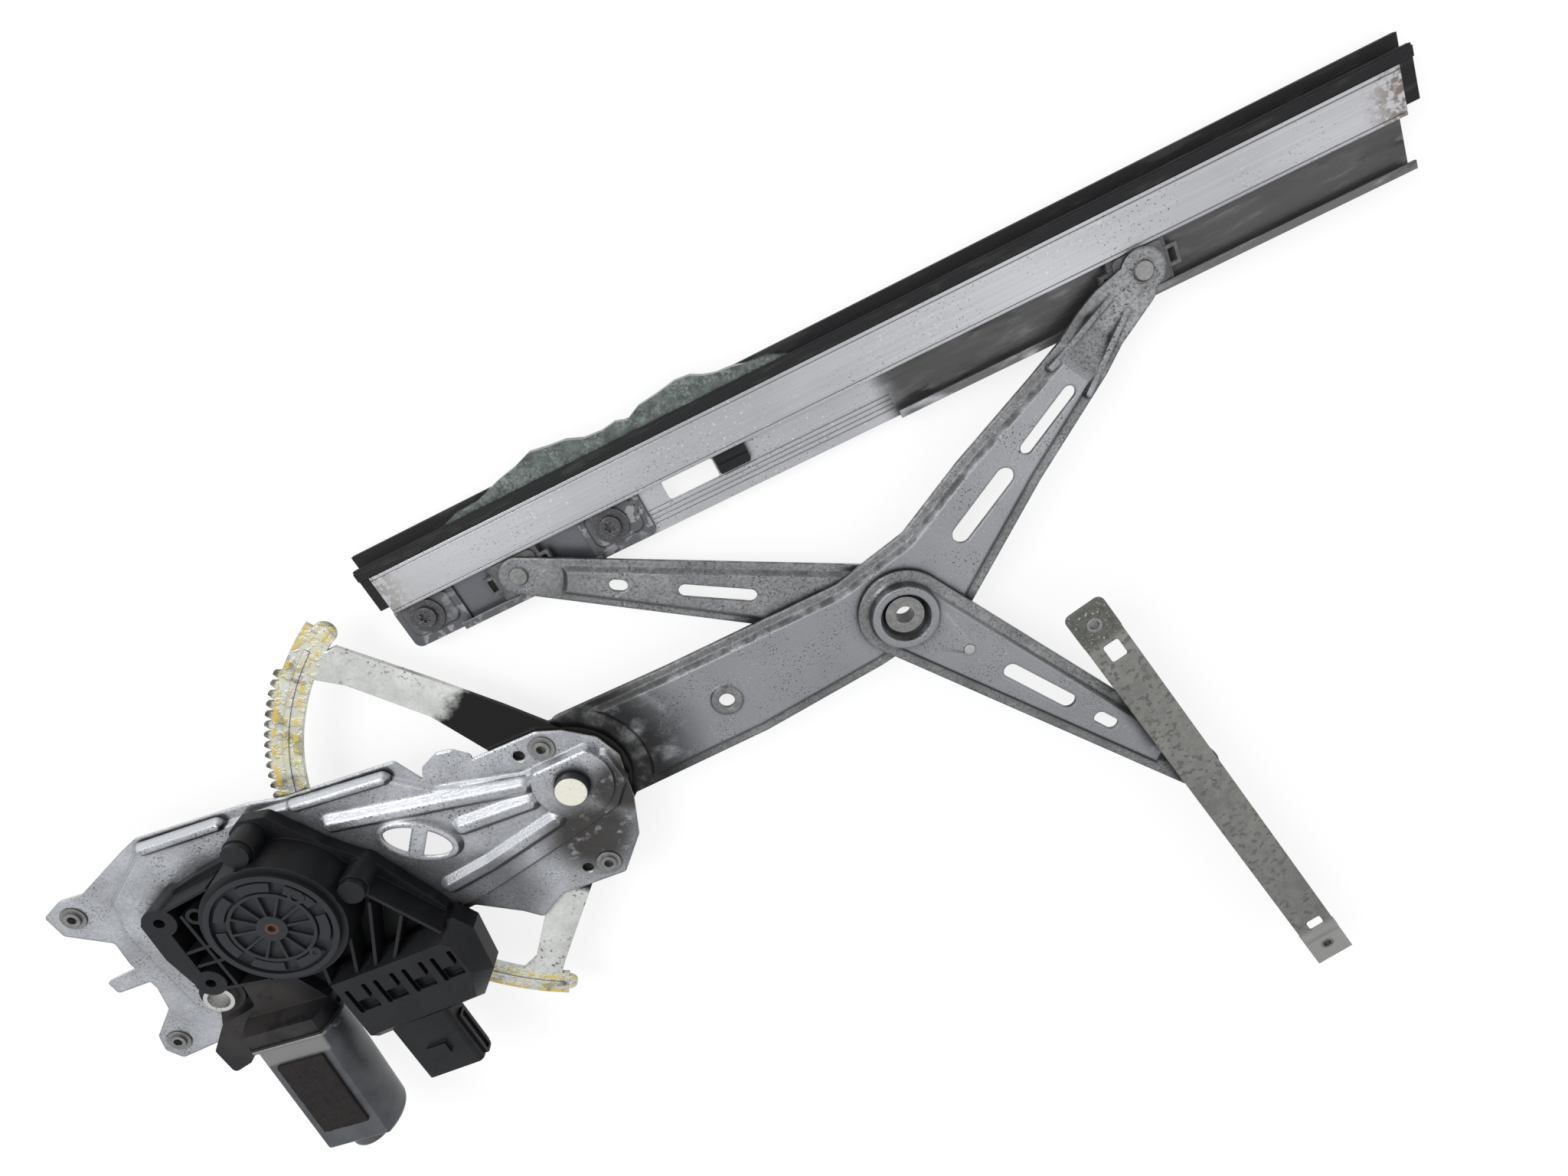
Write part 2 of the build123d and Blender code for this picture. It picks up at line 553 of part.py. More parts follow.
def guide_slider():
    low = SLIDE_GAP
    neck = GUIDE_SLIDER_REACH
    flange = GUIDE_CHANNEL_WIDTH - 2 * SLIDE_GAP
    body = prism(Circle(GUIDE_MOUTH / 2 - SLIDE_GAP), low, neck + 0.4)
    body += prism(RectangleRounded(SLIDER_LENGTH - 6, flange, 2.5), neck, neck + SLIDER_FLANGE)
    body -= prism(Circle(END_RIVET + FIT_GAP), BELOW, neck + SLIDER_FLANGE - 1.0)
    return Pos(*GUIDE, FRONT_RIM_TOP) * Rot(0, 0, GUIDE_RAIL_DEG) * body


# Lift rail and what it carries

CHANNEL_FLOOR = RAIL_FRONT - RAIL_WALL - SLIDER_FLANGE - 0.4
RAIL_BACK = RAIL_FRONT - POCKET_DEPTH


def lift_rail():
    """Extruded section in the YZ plane, with the lower lip milled off the left part."""
    s = SLIDER_Y
    half = CHANNEL_WIDTH / 2
    band_low = s + CHANNEL_MOUTH / 2
    band_high = band_low + BAND_HEIGHT
    front = rectangle_yz(band_low, band_high, RAIL_FRONT - RAIL_WALL, RAIL_FRONT)
    floor = rectangle_yz(s - half - RAIL_WALL, s + half + RAIL_WALL, CHANNEL_FLOOR - RAIL_WALL, CHANNEL_FLOOR)
    web = rectangle_yz(s + half, s + half + RAIL_WALL, RAIL_BACK, RAIL_FRONT)
    back = rectangle_yz(s + half, band_high + 3.0, RAIL_BACK, RAIL_BACK + RAIL_WALL)
    wall = rectangle_yz(s - half - RAIL_WALL, s - half, CHANNEL_FLOOR, RAIL_FRONT)
    lip = rectangle_yz(s - half - RAIL_WALL, s - CHANNEL_MOUTH / 2, RAIL_FRONT - RAIL_WALL, RAIL_FRONT)
    whole = front + floor + web + back
    rail = extrude_x(whole, RAIL_START, RAIL_END) + extrude_x(wall + lip, LIP_START, RAIL_END)
    for y in (band_low + 1.6, band_high - 1.8):
        rail -= extrude_x(rectangle_yz(y - 0.25, y + 0.25, RAIL_FRONT - 0.4, RAIL_FRONT + 1), RAIL_START, RAIL_END)
    for n in range(4):
        y = s - half + 3.0 + 2.4 * n
        groove = rectangle_yz(y - 0.3, y + 0.3, CHANNEL_FLOOR - 0.4, CHANNEL_FLOOR + 1)
        rail -= extrude_x(groove, BRACKET_X[1] + 1, LIP_START - 1)
    window = Pos(WINDOW_AT[0], s + WINDOW_AT[1]) * RectangleRounded(*WINDOW_SIZE, 1.5)
    rail -= prism(window, CHANNEL_FLOOR - 5, CHANNEL_FLOOR + 5)
    for x in SCREWS_X:
        rail -= prism(disc((x, s + SCREW_Y), SCREW_SHANK), CHANNEL_FLOOR - 5, CHANNEL_FLOOR + 5)
    return rail


def rectangle_yz(y0, y1, z0, z1):
    face = Pos((y0 + y1) / 2, (z0 + z1) / 2) * Rectangle(y1 - y0, z1 - z0)
    return face


def extrude_x(section, start, end):
    """Section drawn as (y, z), pulled along X."""
    plane = Plane(origin=(start, 0, 0), x_dir=(0, 1, 0), z_dir=(1, 0, 0))
    return extrude(plane * section, amount=end - start, dir=(1, 0, 0))


def glass_pocket():
    """Rubber legs and glass share these levels: front face, glass front, glass back, back face."""
    front = RAIL_FRONT - RAIL_WALL
    back = RAIL_BACK + RAIL_WALL
    middle = (front + back) / 2
    return front, middle + GLASS_SHEET / 2, middle - GLASS_SHEET / 2, back


def glass_channel():
    front, glass_front, glass_back, back = glass_pocket()
    low = SLIDER_Y + CHANNEL_WIDTH / 2 + RAIL_WALL
    high = SLIDER_Y + CHANNEL_MOUTH / 2 + BAND_HEIGHT
    foot = rectangle_yz(low, low + 3.0, back, front)
    front_leg = rectangle_yz(low, high + 6.0, glass_front, front)
    back_leg = rectangle_yz(low, high + 11.5, back, glass_back)
    bead = rectangle_yz(high + 0.3, high + 5.0, front, front + 1.0)
    return extrude_x(foot + front_leg + back_leg + bead, RAIL_START - RUBBER_OVERHANG[0],
                     RAIL_END + RUBBER_OVERHANG[1])


def window_glass():
    front, glass_front, glass_back, back = glass_pocket()
    low = SLIDER_Y + CHANNEL_WIDTH / 2 + RAIL_WALL + 3.0
    shape = outline([(GLASS_EDGE[0][0], low), *GLASS_EDGE, (GLASS_EDGE[-1][0], low)])
    return prism(shape, glass_back, glass_front)


def slider_bracket():
    """Steel bracket: two feet under the screws, joined by the lower lip of the slider's run."""
    s = SLIDER_Y
    half = CHANNEL_WIDTH / 2
    left, right = BRACKET_X
    wall = rectangle_yz(s - half - BRACKET_SHEET, s - half, CHANNEL_FLOOR, RAIL_FRONT)
    lip = rectangle_yz(s - half - BRACKET_SHEET, s - CHANNEL_MOUTH / 2, RAIL_FRONT - BRACKET_SHEET, RAIL_FRONT)
    run = extrude_x(wall + lip, BRACKET_FEET[0] - 4, BRACKET_FEET[1] + 4)
    feet = None
    for x0, x1 in ((left, BRACKET_FEET[0]), (BRACKET_FEET[1], right)):
        foot = Pos((x0 + x1) / 2, s - BRACKET_SHEET / 2) * RectangleRounded(x1 - x0, CHANNEL_WIDTH + BRACKET_SHEET - 1.0, 4)
        block = prism(foot, CHANNEL_FLOOR, CHANNEL_FLOOR + BRACKET_SHEET)
        dome = Pos((x0 + x1) / 2, s + SCREW_Y) * RectangleRounded(x1 - x0 - 6, 19.5, 5)
        block += bump(dome, CHANNEL_FLOOR + BRACKET_SHEET, CHANNEL_FLOOR + BRACKET_SHEET + 1.2, 45)
        feet = block if feet is None else feet + block
    bracket = run + feet
    for x in SCREWS_X:
        bracket -= prism(disc((x, s + SCREW_Y), SCREW_SHANK), BELOW, ABOVE)
    return bracket


def bracket_foot_top():
    return CHANNEL_FLOOR + BRACKET_SHEET + 1.2


def torx_socket(centre, top):
    socket = RegularPolygon(TORX_RADIUS * 0.8, 6)
    for n in range(6):
        socket += Pos(*polar(TORX_RADIUS * 0.74, n * 60)) * Circle(TORX_RADIUS * 0.26)
    return Pos(*centre) * prism(socket, top - 1.8, top + 1)


def bracket_screws():
    screws = []
    seat = bracket_foot_top() + 1.4
    for x in SCREWS_X:
        centre = (x, SLIDER_Y + SCREW_Y)
        screw = prism(disc(centre, SCREW_SHANK), RAIL_BACK + 1.0, seat)
        screw += bump(disc(centre, SCREW_HEAD), seat, seat + 2.2, 12)
        screws.append(screw - torx_socket(centre, seat + 2.2))
    return Compound(children=screws)


def bracket_washers():
    low = bracket_foot_top()
    washers = []
    for x in SCREWS_X:
        centre = (x, SLIDER_Y + SCREW_Y)
        washers.append(tube(SCREW_WASHER, SCREW_SHANK, low, low + 1.4, centre))
    return Compound(children=washers)


def bracket_nuts():
    """Clinch nuts behind the rail's floor."""
    top = CHANNEL_FLOOR - RAIL_WALL
    nuts = []
    for x in SCREWS_X:
        centre = (x, SLIDER_Y + SCREW_Y)
        hexagon = Pos(*centre) * RegularPolygon(5.5, 6)
        nuts.append(prism(hexagon - disc(centre, SCREW_SHANK), top - 4.5, top))
    return Compound(children=nuts)


def rail_clip():
    """Moulded clip that hooks into the window of the rail."""
    centre = (CLIP_AT[0], SLIDER_Y + CLIP_AT[1])
    top = CHANNEL_FLOOR
    clip = prism(Pos(*centre) * RectangleRounded(*CLIP_SIZE, 1.2), top, top + 3.4)
    groove = Pos(centre[0], centre[1] - 1.0) * Rectangle(CLIP_SIZE[0] + 2, 1.2)
    return clip - prism(groove, top + 2.2, top + 5)


# Guide rail

def guide_rail():
    """Folded channel that opens towards the arm, with a flat tab and an insert at each end."""
    half = GUIDE_CHANNEL_WIDTH / 2
    neck = GUIDE_SLIDER_REACH - SLIDE_GAP
    low = neck - GUIDE_SHEET
    top = neck + SLIDE_GAP + SLIDER_FLANGE + SLIDE_GAP
    start = -GUIDE_UP + 14
    end = GUIDE_DOWN - 14
    mid = (start + end) / 2
    run = end - start
    back = prism(Pos(mid, 0) * Rectangle(run, 2 * half + 2 * GUIDE_SHEET), top, top + GUIDE_SHEET)
    for side in (-1, 1):
        wall = Pos(mid, side * (half + GUIDE_SHEET / 2)) * Rectangle(run, GUIDE_SHEET)
        back += prism(wall, low, top)
        lip_width = half - GUIDE_MOUTH / 2 + GUIDE_SHEET
        lip = Pos(mid, side * (GUIDE_MOUTH / 2 + lip_width / 2)) * Rectangle(run, lip_width)
        back += prism(lip, low, neck)
    upper = Pos(-GUIDE_UP, 0) * RectangleRounded(24, 2 * half + 3.4, 4) + Pos(start, 0) * Rectangle(10, 2 * half + 2.8)
    back += prism(upper, top, top + GUIDE_SHEET)
    back += prism(Pos(-GUIDE_UP, 0) * RectangleRounded(17, 15, 4), top + GUIDE_SHEET, top + GUIDE_SHEET + 0.8)
    step = GUIDE_STEP
    ramp = Polygon((end - 6, top + GUIDE_SHEET), (end, top + GUIDE_SHEET), (end + 7, top + GUIDE_SHEET - step),
                   (GUIDE_DOWN + 12, top + GUIDE_SHEET - step), (GUIDE_DOWN + 12, top - step),
                   (end + 6.4, top - step), (end - 0.6, top), (end - 6, top), align=None)
    side_plane = Plane(origin=(0, 0, 0), x_dir=(1, 0, 0), z_dir=(0, -1, 0))
    back += extrude(side_plane * ramp, amount=half + 1.8, both=True)
    for x, length in ((-GUIDE_UP + 20.5, 12.0), (GUIDE_DOWN - 24.0, 8.0)):
        back -= prism(Pos(x, 1.0) * RectangleRounded(length, 9.0, 1.5), neck, ABOVE)
    back -= prism(Pos(-GUIDE_UP, 0) * Circle(INSERT_RADIUS - 0.5), BELOW, ABOVE)
    back -= prism(Pos(GUIDE_DOWN, 0) * Circle(INSERT_RADIUS - 0.5), BELOW, ABOVE)
    return place_on_guide(back)


GUIDE_STEP = 3.0


def guide_back_face():
    return GUIDE_SLIDER_REACH + SLIDE_GAP + SLIDER_FLANGE + GUIDE_SHEET


def place_on_guide(piece):
    return Pos(*GUIDE, FRONT_RIM_TOP) * Rot(0, 0, GUIDE_RAIL_DEG) * piece


def guide_inserts():
    """Clinch nuts in the two tabs, their threads open towards the door."""
    inserts = []
    upper_face = guide_back_face() + 0.8
    for x, face in ((-GUIDE_UP, upper_face), (GUIDE_DOWN, guide_back_face() - GUIDE_STEP)):
        nut = prism(Pos(x, 0) * (Circle(INSERT_RADIUS - 0.5) - Circle(THREAD_RADIUS)), face - 8.0, face)
        nut += prism(Pos(x, 0) * (Circle(INSERT_HEAD) - Circle(INSERT_RADIUS - 0.5)),
                     face - 8.0, face - 0.8 * (face == upper_face) - GUIDE_SHEET)
        inserts.append(place_on_guide(nut))
    return Compound(children=inserts)


# Base plate

def base_plate():
    edge = outline(PLATE_OUTLINE, 3.0) + outline(LEAF_OUTLINE, 3.0) + outline(TAB_OUTLINE, 2.0)
    form = prism(edge, BELOW, FLANGE_TOP)
    form += bump(outline(PLATEAU_OUTLINE, 4.0), FLANGE_TOP, PLATEAU_TOP, 35)
    boss = disc(PIVOT, 24.0) - Pos(0, 17.5 + 20) * Rectangle(80, 40)
    form += bump(fillet(boss.vertices(), 5), FLANGE_TOP, BOSS_TOP, 25)
    for line in RIB_LINES:
        form += bump(wire_band(line, RIB_WIDTH), PLATEAU_TOP, PLATEAU_TOP + RIB_HEIGHT, 45)
    for line in RIDGE_LINES:
        form += bump(wire_band(line, 9.0), PLATEAU_TOP - 1.0, PLATEAU_TOP + 2.6, 40)
    ring = Pos(*WINDOW_RING) * Rot(0, 0, RING_DEG)
    form += bump(ring * Ellipse(*RING_SIZE), PLATEAU_TOP, PLATEAU_TOP + RING_HEIGHT, 35)
    plate = pressed(form, PLATE_SHEET)
    plate -= prism(ring * (Ellipse(*RING_OPENING) - Rectangle(RING_BRIDGE, 40)), BELOW, ABOVE)
    plate -= prism(disc(PIVOT, PIN_RADIUS + PIN_COLLAR), BELOW, ABOVE)
    plate -= prism(disc(MESH, PINION_HOLE), BELOW, ABOVE)
    for centre in INSERTS:
        plate -= prism(disc(centre, INSERT_RADIUS), BELOW, ABOVE)
    for centre in LOCATING_HOLES:
        plate -= prism(disc(centre, 3.2), BELOW, ABOVE)
    plate -= prism(disc(BUSHING_AT, BUSHING_BORE + 0.3), BELOW, ABOVE)
    for centre in GEARBOX_SCREWS:
        plate -= prism(disc(centre, 2.5), BELOW, ABOVE)
    return plate


PINION_HOLE = 14.0
GEARBOX_SCREWS = [(-160.3, 55.2), (-228.5, -8.6), (-123.8, 8.8)]


def base_inserts():
    """Clinch nuts for the bolts to the door, open towards the viewer."""
    inserts = []
    for centre in INSERTS:
        nut = tube(INSERT_RADIUS, THREAD_RADIUS, FLANGE_BOTTOM - 0.1, FLANGE_TOP + 2.0, centre)
        nut += prism(disc(centre, INSERT_RADIUS), FLANGE_BOTTOM - 0.5, FLANGE_BOTTOM - 0.1)
        nut += tube(INSERT_HEAD, INSERT_RADIUS, FLANGE_TOP, FLANGE_TOP + 0.8, centre)
        inserts.append(nut)
    return Compound(children=inserts)


def gearbox_screws():
    screws = []
    for centre in GEARBOX_SCREWS:
        head = prism(disc(centre, 4.5), PLATEAU_TOP - PLATE_SHEET - 2.4, PLATEAU_TOP - PLATE_SHEET)
        screws.append(head + prism(disc(centre, 2.5), PLATEAU_TOP - PLATE_SHEET, PLATEAU_TOP + 10))
    return Compound(children=screws)


# Gearbox and motor

def gearbox_housing():
    low = PLATEAU_TOP
    body = prism(outline(SKIRT_OUTLINE, 3.0), low, low + SKIRT_HEIGHT)
    body += bump(disc(MESH, DRUM_RADIUS + 1.5), low, DRUM_TOP, 3)
    body += prism(outline(BLOCK_OUTLINE, 2.5), low, BLOCK_TOP)
    for centre, radius in zip(SCREW_BOSSES, (9.0, 8.5, 5.2)):
        body += prism(disc(centre, radius), low, FRAME_TOP)
    for centre in PLUGS:
        body += prism(disc(centre, PLUG_RADIUS + 1.0), low, PLUG_TOP - 4)
    for start, end in FAN_RIBS + FRAME_RIBS:
        body += prism(bar(start, end, RIB_WALL), low, FRAME_TOP)
    neck = can_plane(-CAN_BACK - GASKET - 9.0) * prism(can_section(CAN_RADIUS + 1.5, CAN_FLAT + 0.5), 0, 9.0)
    body += neck - prism(Pos(*CAN_AT) * Rectangle(300, 300), BELOW, low)
    beyond = can_plane(-CAN_BACK - GASKET) * prism(Rectangle(2 * CAN_RADIUS + 12, 120), 0, 60)
    lug = disc(BUSHING_AT, BUSHING_RADIUS + 4.0) & outline([(-262, -50), (-218, -50), (-218, 0), (-262, 0)])
    body += prism(lug, low, BUSHING_TOP - 4)
    cavity = prism(disc(MESH, DRUM_RADIUS - DRUM_WALL), DRUM_FLOOR, COVER_TOP)
    body -= cavity
    body -= prism(disc(MESH, SHAFT_RADIUS + FIT_GAP), BELOW, DRUM_FLOOR)
    body -= prism(disc(BUSHING_AT, BUSHING_RADIUS), BELOW, ABOVE)
    for centre, radius in zip(SCREW_BOSSES, (3.0, 2.8, 3.2)):
        body -= prism(disc(centre, radius), low + 12, ABOVE)
    for centre in GEARBOX_SCREWS:
        body -= prism(disc(centre, 2.5), BELOW, PLATEAU_TOP + 10)
    for centre in PLUGS:
        body -= prism(disc(centre, PLUG_RADIUS), PLUG_TOP - 4, ABOVE)
    return body - beyond


def gear_cover():
    """Round cover, ribbed like a wheel, that closes the drum."""
    base = prism(Circle(COVER_RADIUS - 0.6), DRUM_TOP - 1.6, DRUM_TOP + 0.4)
    base += prism(Circle(COVER_RADIUS) - Circle(COVER_RADIUS - 3.0), DRUM_TOP, COVER_TOP)
    base += prism(Circle(22.6) - Circle(20.8), DRUM_TOP, COVER_TOP - 0.4)
    base += prism(Circle(8.0) - Circle(2.2), DRUM_TOP - 6.0, COVER_TOP)
    for n in range(SPOKES):
        turn = Rot(0, 0, 15 + n * 360 / SPOKES)
        base += turn * prism(Pos(14.0, 0) * Rectangle(14.5, 1.3), DRUM_TOP, COVER_TOP - 0.4)
    for n in range(7):
        pad = ring_arc(23.8, 29.2, n * 360 / 7 + 5, n * 360 / 7 + 41)
        base += prism(pad, DRUM_TOP, COVER_TOP - 0.6)
    for angle, radius in ((25, 2.6), (292, 1.6)):
        base += prism(disc(polar(25.5, angle), radius + 1.6) - disc(polar(25.5, angle), radius), DRUM_TOP, COVER_TOP)
    base -= prism(Circle(SHAFT_RADIUS - 1.5), BELOW, DRUM_TOP - 1.0)
    return Pos(*MESH) * base


def module_form():
    shoulder = Pos(0, 0, MODULE_SHOULDER) * outline(MODULE_BASE)
    face = Pos(0, 0, MODULE_TOP) * outline(MODULE_FACE)
    return prism(outline(MODULE_BASE), PLATEAU_TOP + 1.0, MODULE_SHOULDER) + loft([shoulder, face])


def module_housing():
    low = PLATEAU_TOP
    body = module_form()
    for n in range(SLOT_PAIRS):
        x = SLOT_START[0] + n * SLOT_PITCH
        y = SLOT_START[1] - n * 0.9
        for dx in (0, 10.6):
            body -= prism(Pos(x + dx, y) * Rot(0, 0, -3) * RectangleRounded(2.6, 18.0, 1.0), MODULE_TOP - 6, ABOVE)
        body -= prism(Pos(x + 5.3, y - 4.6) * Rot(0, 0, -3) * RectangleRounded(8.2, 8.0, 1.0), MODULE_TOP - 3.5, ABOVE)
    drum = Pos(*MESH) * prism(Circle(DRUM_RADIUS + 2.2), BELOW, ABOVE)
    body -= drum
    body -= prism(outline(SKIRT_OUTLINE, 3.0), BELOW, low + SKIRT_HEIGHT)
    for start, end in FAN_RIBS:
        body -= prism(bar(start, end, RIB_WALL), BELOW, FRAME_TOP)
    return body


def connector_socket():
    """Open socket for the harness plug, with its contact block inside."""
    width, depth, height = SOCKET_SIZE
    shell = RectangleRounded(width, height, 3.0) - RectangleRounded(width - 4.0, height - 4.0, 2.0)
    block = RectangleRounded(width, height, 3.0)
    body = prism(shell, 0, depth - 9.0) + prism(block, -21.0, 0)
    for row in (-1, 1):
        for n in range(5):
            body += prism(Pos(-10 + n * 5, row * 2.6) * Rectangle(1.2, 1.2), 0, 9.0)
    body += prism(Pos(0, height / 2 + 0.9) * Rectangle(12.0, 2.2), 0, 8.0)
    return (socket_plane() * body - module_form()).solids().sort_by(Axis.Y)[0]


def socket_plane():
    """A plane across the socket, its Z out of the mouth."""
    lean = radians(SOCKET_TILT)
    return Plane(origin=(*SOCKET_AT, SOCKET_Z), x_dir=(cos(lean), sin(lean), 0), z_dir=(sin(lean), -cos(lean), 0))


def connector_latch():
    """Spring loop that locks the plug in the socket."""
    width, depth, height = SOCKET_SIZE
    loop = RectangleRounded(34.0, 7.5, 2.0) - RectangleRounded(30.4, 3.9, 1.0)
    side = Plane(origin=(width / 2, 0, 7.0), x_dir=(0, 0, 1), z_dir=(1, 0, 0))
    return socket_plane() * extrude(side * loop, amount=1.6)


def can_plane(distance):
    """A plane across the motor's axis, its X level and its Y up."""
    ux, uy = cos(radians(CAN_DEG)), sin(radians(CAN_DEG))
    origin = (CAN_AT[0] + ux * distance, CAN_AT[1] + uy * distance, CAN_Z)
    return Plane(origin=origin, x_dir=(-uy, ux, 0), z_dir=(ux, uy, 0))


def can_section(radius, flat):
    return Circle(radius) & Rectangle(4 * radius, 2 * flat)


def motor_can():
    run = CAN_FRONT + CAN_BACK
    can = extrude(can_section(CAN_RADIUS, CAN_FLAT), amount=run)
    can = fillet(can.edges().group_by(Axis.Z)[-1], 4.0)
    cup = prism(Circle(CUP_RADIUS), run - 1.0, run + CUP_LENGTH)
    can += fillet(cup.edges().group_by(Axis.Z)[-1], 3.0)
    can += prism(can_section(CAN_RADIUS + 2.5, CAN_FLAT + 1.5), 0, 2.0)
    tab = Pos(CAN_RADIUS + 1.5, 9.0) * Rot(0, 0, 20) * Rectangle(*TAB_SIZE[:2])
    can += prism(tab, 0, TAB_SIZE[2])
    return can_plane(-CAN_BACK) * can


def can_gasket():
    """Seal between the can's flange and the gearbox."""
    return can_plane(-CAN_BACK - GASKET) * prism(can_section(CAN_RADIUS + 2.5, CAN_FLAT + 1.5), 0, GASKET)


def can_pad():
    """Rattle pad stuck to the flat of the can."""
    plane = Plane(origin=can_plane(-CAN_BACK).origin + Vector(0, 0, CAN_FLAT),
                  x_dir=can_plane(0).x_dir * -1, z_dir=(0, 0, 1))
    pad = Pos(0, PAD_START + PAD_SIZE[0] / 2) * Rectangle(PAD_SIZE[1], PAD_SIZE[0])
    return plane * prism(pad, 0, PAD_SHEET)


def steel_bushing():
    return tube(BUSHING_RADIUS, BUSHING_BORE, PLATEAU_TOP, BUSHING_TOP, BUSHING_AT)


def housing_plugs():
    plugs = []
    for centre in PLUGS:
        plugs.append(prism(disc(centre, PLUG_RADIUS), PLUG_TOP - 4, PLUG_TOP))
    return Compound(children=plugs)


def main():
    os.makedirs("parts", exist_ok=True)
    slider_face = REAR_BOTTOM
    channel = (CHANNEL_WIDTH, CHANNEL_MOUTH)
    nodes = {
        "base_plate": base_plate(),
        "base_inserts": base_inserts(),
        "pivot_bushing": pivot_bushing(),
        "gearbox_screws": gearbox_screws(),
        "gearbox_housing": gearbox_housing(),
        "gear_cover": gear_cover(),
        "module_housing": module_housing(),
        "connector_socket": connector_socket(),
        "connector_latch": connector_latch(),
        "can_gasket": can_gasket(),
        "motor_can": motor_can(),
        "can_pad": can_pad(),
        "steel_bushing": steel_bushing(),
        "housing_plugs": housing_plugs(),
        "pinion_gear": pinion_gear(),
        "worm_wheel": worm_wheel(),
        "main_arm": main_arm(),
        "sector_gear": sector_gear(),
        "sector_rivets": sector_rivets(),
        "pivot_pin": pivot_pin(),
        "right_lift_rivet": lift_rivet(LIFT_RIGHT),
        "front_cross_arm": front_cross_arm(),
        "rear_cross_arm": rear_cross_arm(),
        "cross_sleeve": cross_sleeve(),
        "cross_rivet": cross_rivet(),
        "left_lift_rivet": lift_rivet(LIFT_LEFT),
        "guide_rivet": guide_rivet(),
        "right_slider": slider(LIFT_RIGHT, 0, slider_face, *channel, False),
        "left_slider": slider(LIFT_LEFT, 0, slider_face, *channel, False),
        "guide_slider": guide_slider(),
        "lift_rail": lift_rail(),
        "slider_bracket": slider_bracket(),
        "bracket_screws": bracket_screws(),
        "bracket_washers": bracket_washers(),
        "bracket_nuts": bracket_nuts(),
        "rail_clip": rail_clip(),
        "glass_channel": glass_channel(),
        "window_glass": window_glass(),
        "guide_rail": guide_rail(),
        "guide_inserts": guide_inserts(),
    }
    for name, shape in nodes.items():
        pieces = (Pos(-DATUM[0], -DATUM[1], -DATUM[2]) * shape).solids()
        export_step(pieces[0] if len(pieces) == 1 else Compound(pieces), f"parts/{name}.step")


def lift_rivet(centre):
    """Rivet through the pad: a low head above, and a tail that the slider turns on."""
    bottom = REAR_BOTTOM - SLIDER_REACH - 2.6
    rivet = prism(disc(centre, END_RIVET), bottom, REAR_RIM_TOP)
    return rivet + bump(disc(centre, END_RIVET_HEAD), REAR_RIM_TOP, REAR_RIM_TOP + 1.3, 30)


def guide_rivet():
    top = FRONT_RIM_TOP + GUIDE_SLIDER_REACH + SLIDER_FLANGE - 1.4
    rivet = prism(disc(GUIDE, END_RIVET), FRONT_BOTTOM, top)
    return rivet + bump(disc(GUIDE, END_RIVET_HEAD), FRONT_BOTTOM - 1.2, FRONT_BOTTOM, -30)


main()
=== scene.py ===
import json
from math import cos, pi, radians, sin

import bmesh
import bpy
from mathutils import Euler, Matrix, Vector


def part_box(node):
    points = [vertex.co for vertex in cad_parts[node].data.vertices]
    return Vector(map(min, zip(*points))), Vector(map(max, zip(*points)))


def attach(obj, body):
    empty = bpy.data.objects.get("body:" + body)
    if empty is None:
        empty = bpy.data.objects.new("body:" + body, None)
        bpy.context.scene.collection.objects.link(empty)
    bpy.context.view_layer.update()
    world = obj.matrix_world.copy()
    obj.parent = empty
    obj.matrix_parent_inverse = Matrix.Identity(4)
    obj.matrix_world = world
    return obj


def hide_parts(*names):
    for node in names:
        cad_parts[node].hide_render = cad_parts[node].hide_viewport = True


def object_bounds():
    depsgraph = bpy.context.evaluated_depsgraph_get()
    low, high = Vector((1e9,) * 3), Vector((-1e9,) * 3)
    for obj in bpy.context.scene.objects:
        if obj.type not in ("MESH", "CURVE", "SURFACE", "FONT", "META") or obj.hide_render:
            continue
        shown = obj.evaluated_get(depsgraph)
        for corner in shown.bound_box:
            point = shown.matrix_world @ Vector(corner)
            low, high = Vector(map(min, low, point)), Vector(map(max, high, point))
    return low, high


# Looks of a used cross-arm window regulator. Metres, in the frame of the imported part: the origin
# is the base insert beside the main pivot, +X runs along the lift rail and +Z towards the viewer.

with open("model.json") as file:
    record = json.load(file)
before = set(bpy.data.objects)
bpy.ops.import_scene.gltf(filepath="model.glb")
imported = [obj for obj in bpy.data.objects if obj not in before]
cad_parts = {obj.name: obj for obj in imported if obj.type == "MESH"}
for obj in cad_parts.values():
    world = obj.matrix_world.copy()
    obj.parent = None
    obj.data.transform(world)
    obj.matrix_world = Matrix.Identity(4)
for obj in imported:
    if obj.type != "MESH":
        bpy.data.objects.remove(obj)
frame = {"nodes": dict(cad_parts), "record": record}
cad_low, cad_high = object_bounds()

MM = 0.001
NODES = frame["nodes"]

# Places on the part, in millimetres
PIVOT = (4.8, -24.9)
CROSS = (202.6, -16.6)
GUIDE = (313.35, -180.76)
GEAR = (-162.8, -12.9)
WORM = (-224, -76)
BUSHING = (-234.2, -48.9)
STUD = (225.0, -49.8)
BOSS_SLOPES = ((-4, -60), (28, -40))
PLATE_MIDDLE = (-100, -60)

# Directions
UP = (0, 0, 1)
RAIL_RIGHT = (1, 0, 0)
RAIL_UP = (0, 1, 0)
GUIDE_ALONG = (0.22, -0.975, 0)
CAN_UP = (0.156, 0.988, 0)
# Sides that get painted light: a painted highlight on the plate's upper-left slopes, painted shade
# on its lower-right slopes and on the arms' upper-left and lower-left slopes
PLATE_HIGHLIGHT_SIDE = (-0.35, 0.93, 0)
PLATE_SHADE_SIDE = (0.35, -0.93, 0)
ARM_UPPER_SHADE_SIDE = (-0.50, 0.86, 0)
ARM_LOWER_SHADE_SIDE = (-0.44, -0.90, 0)

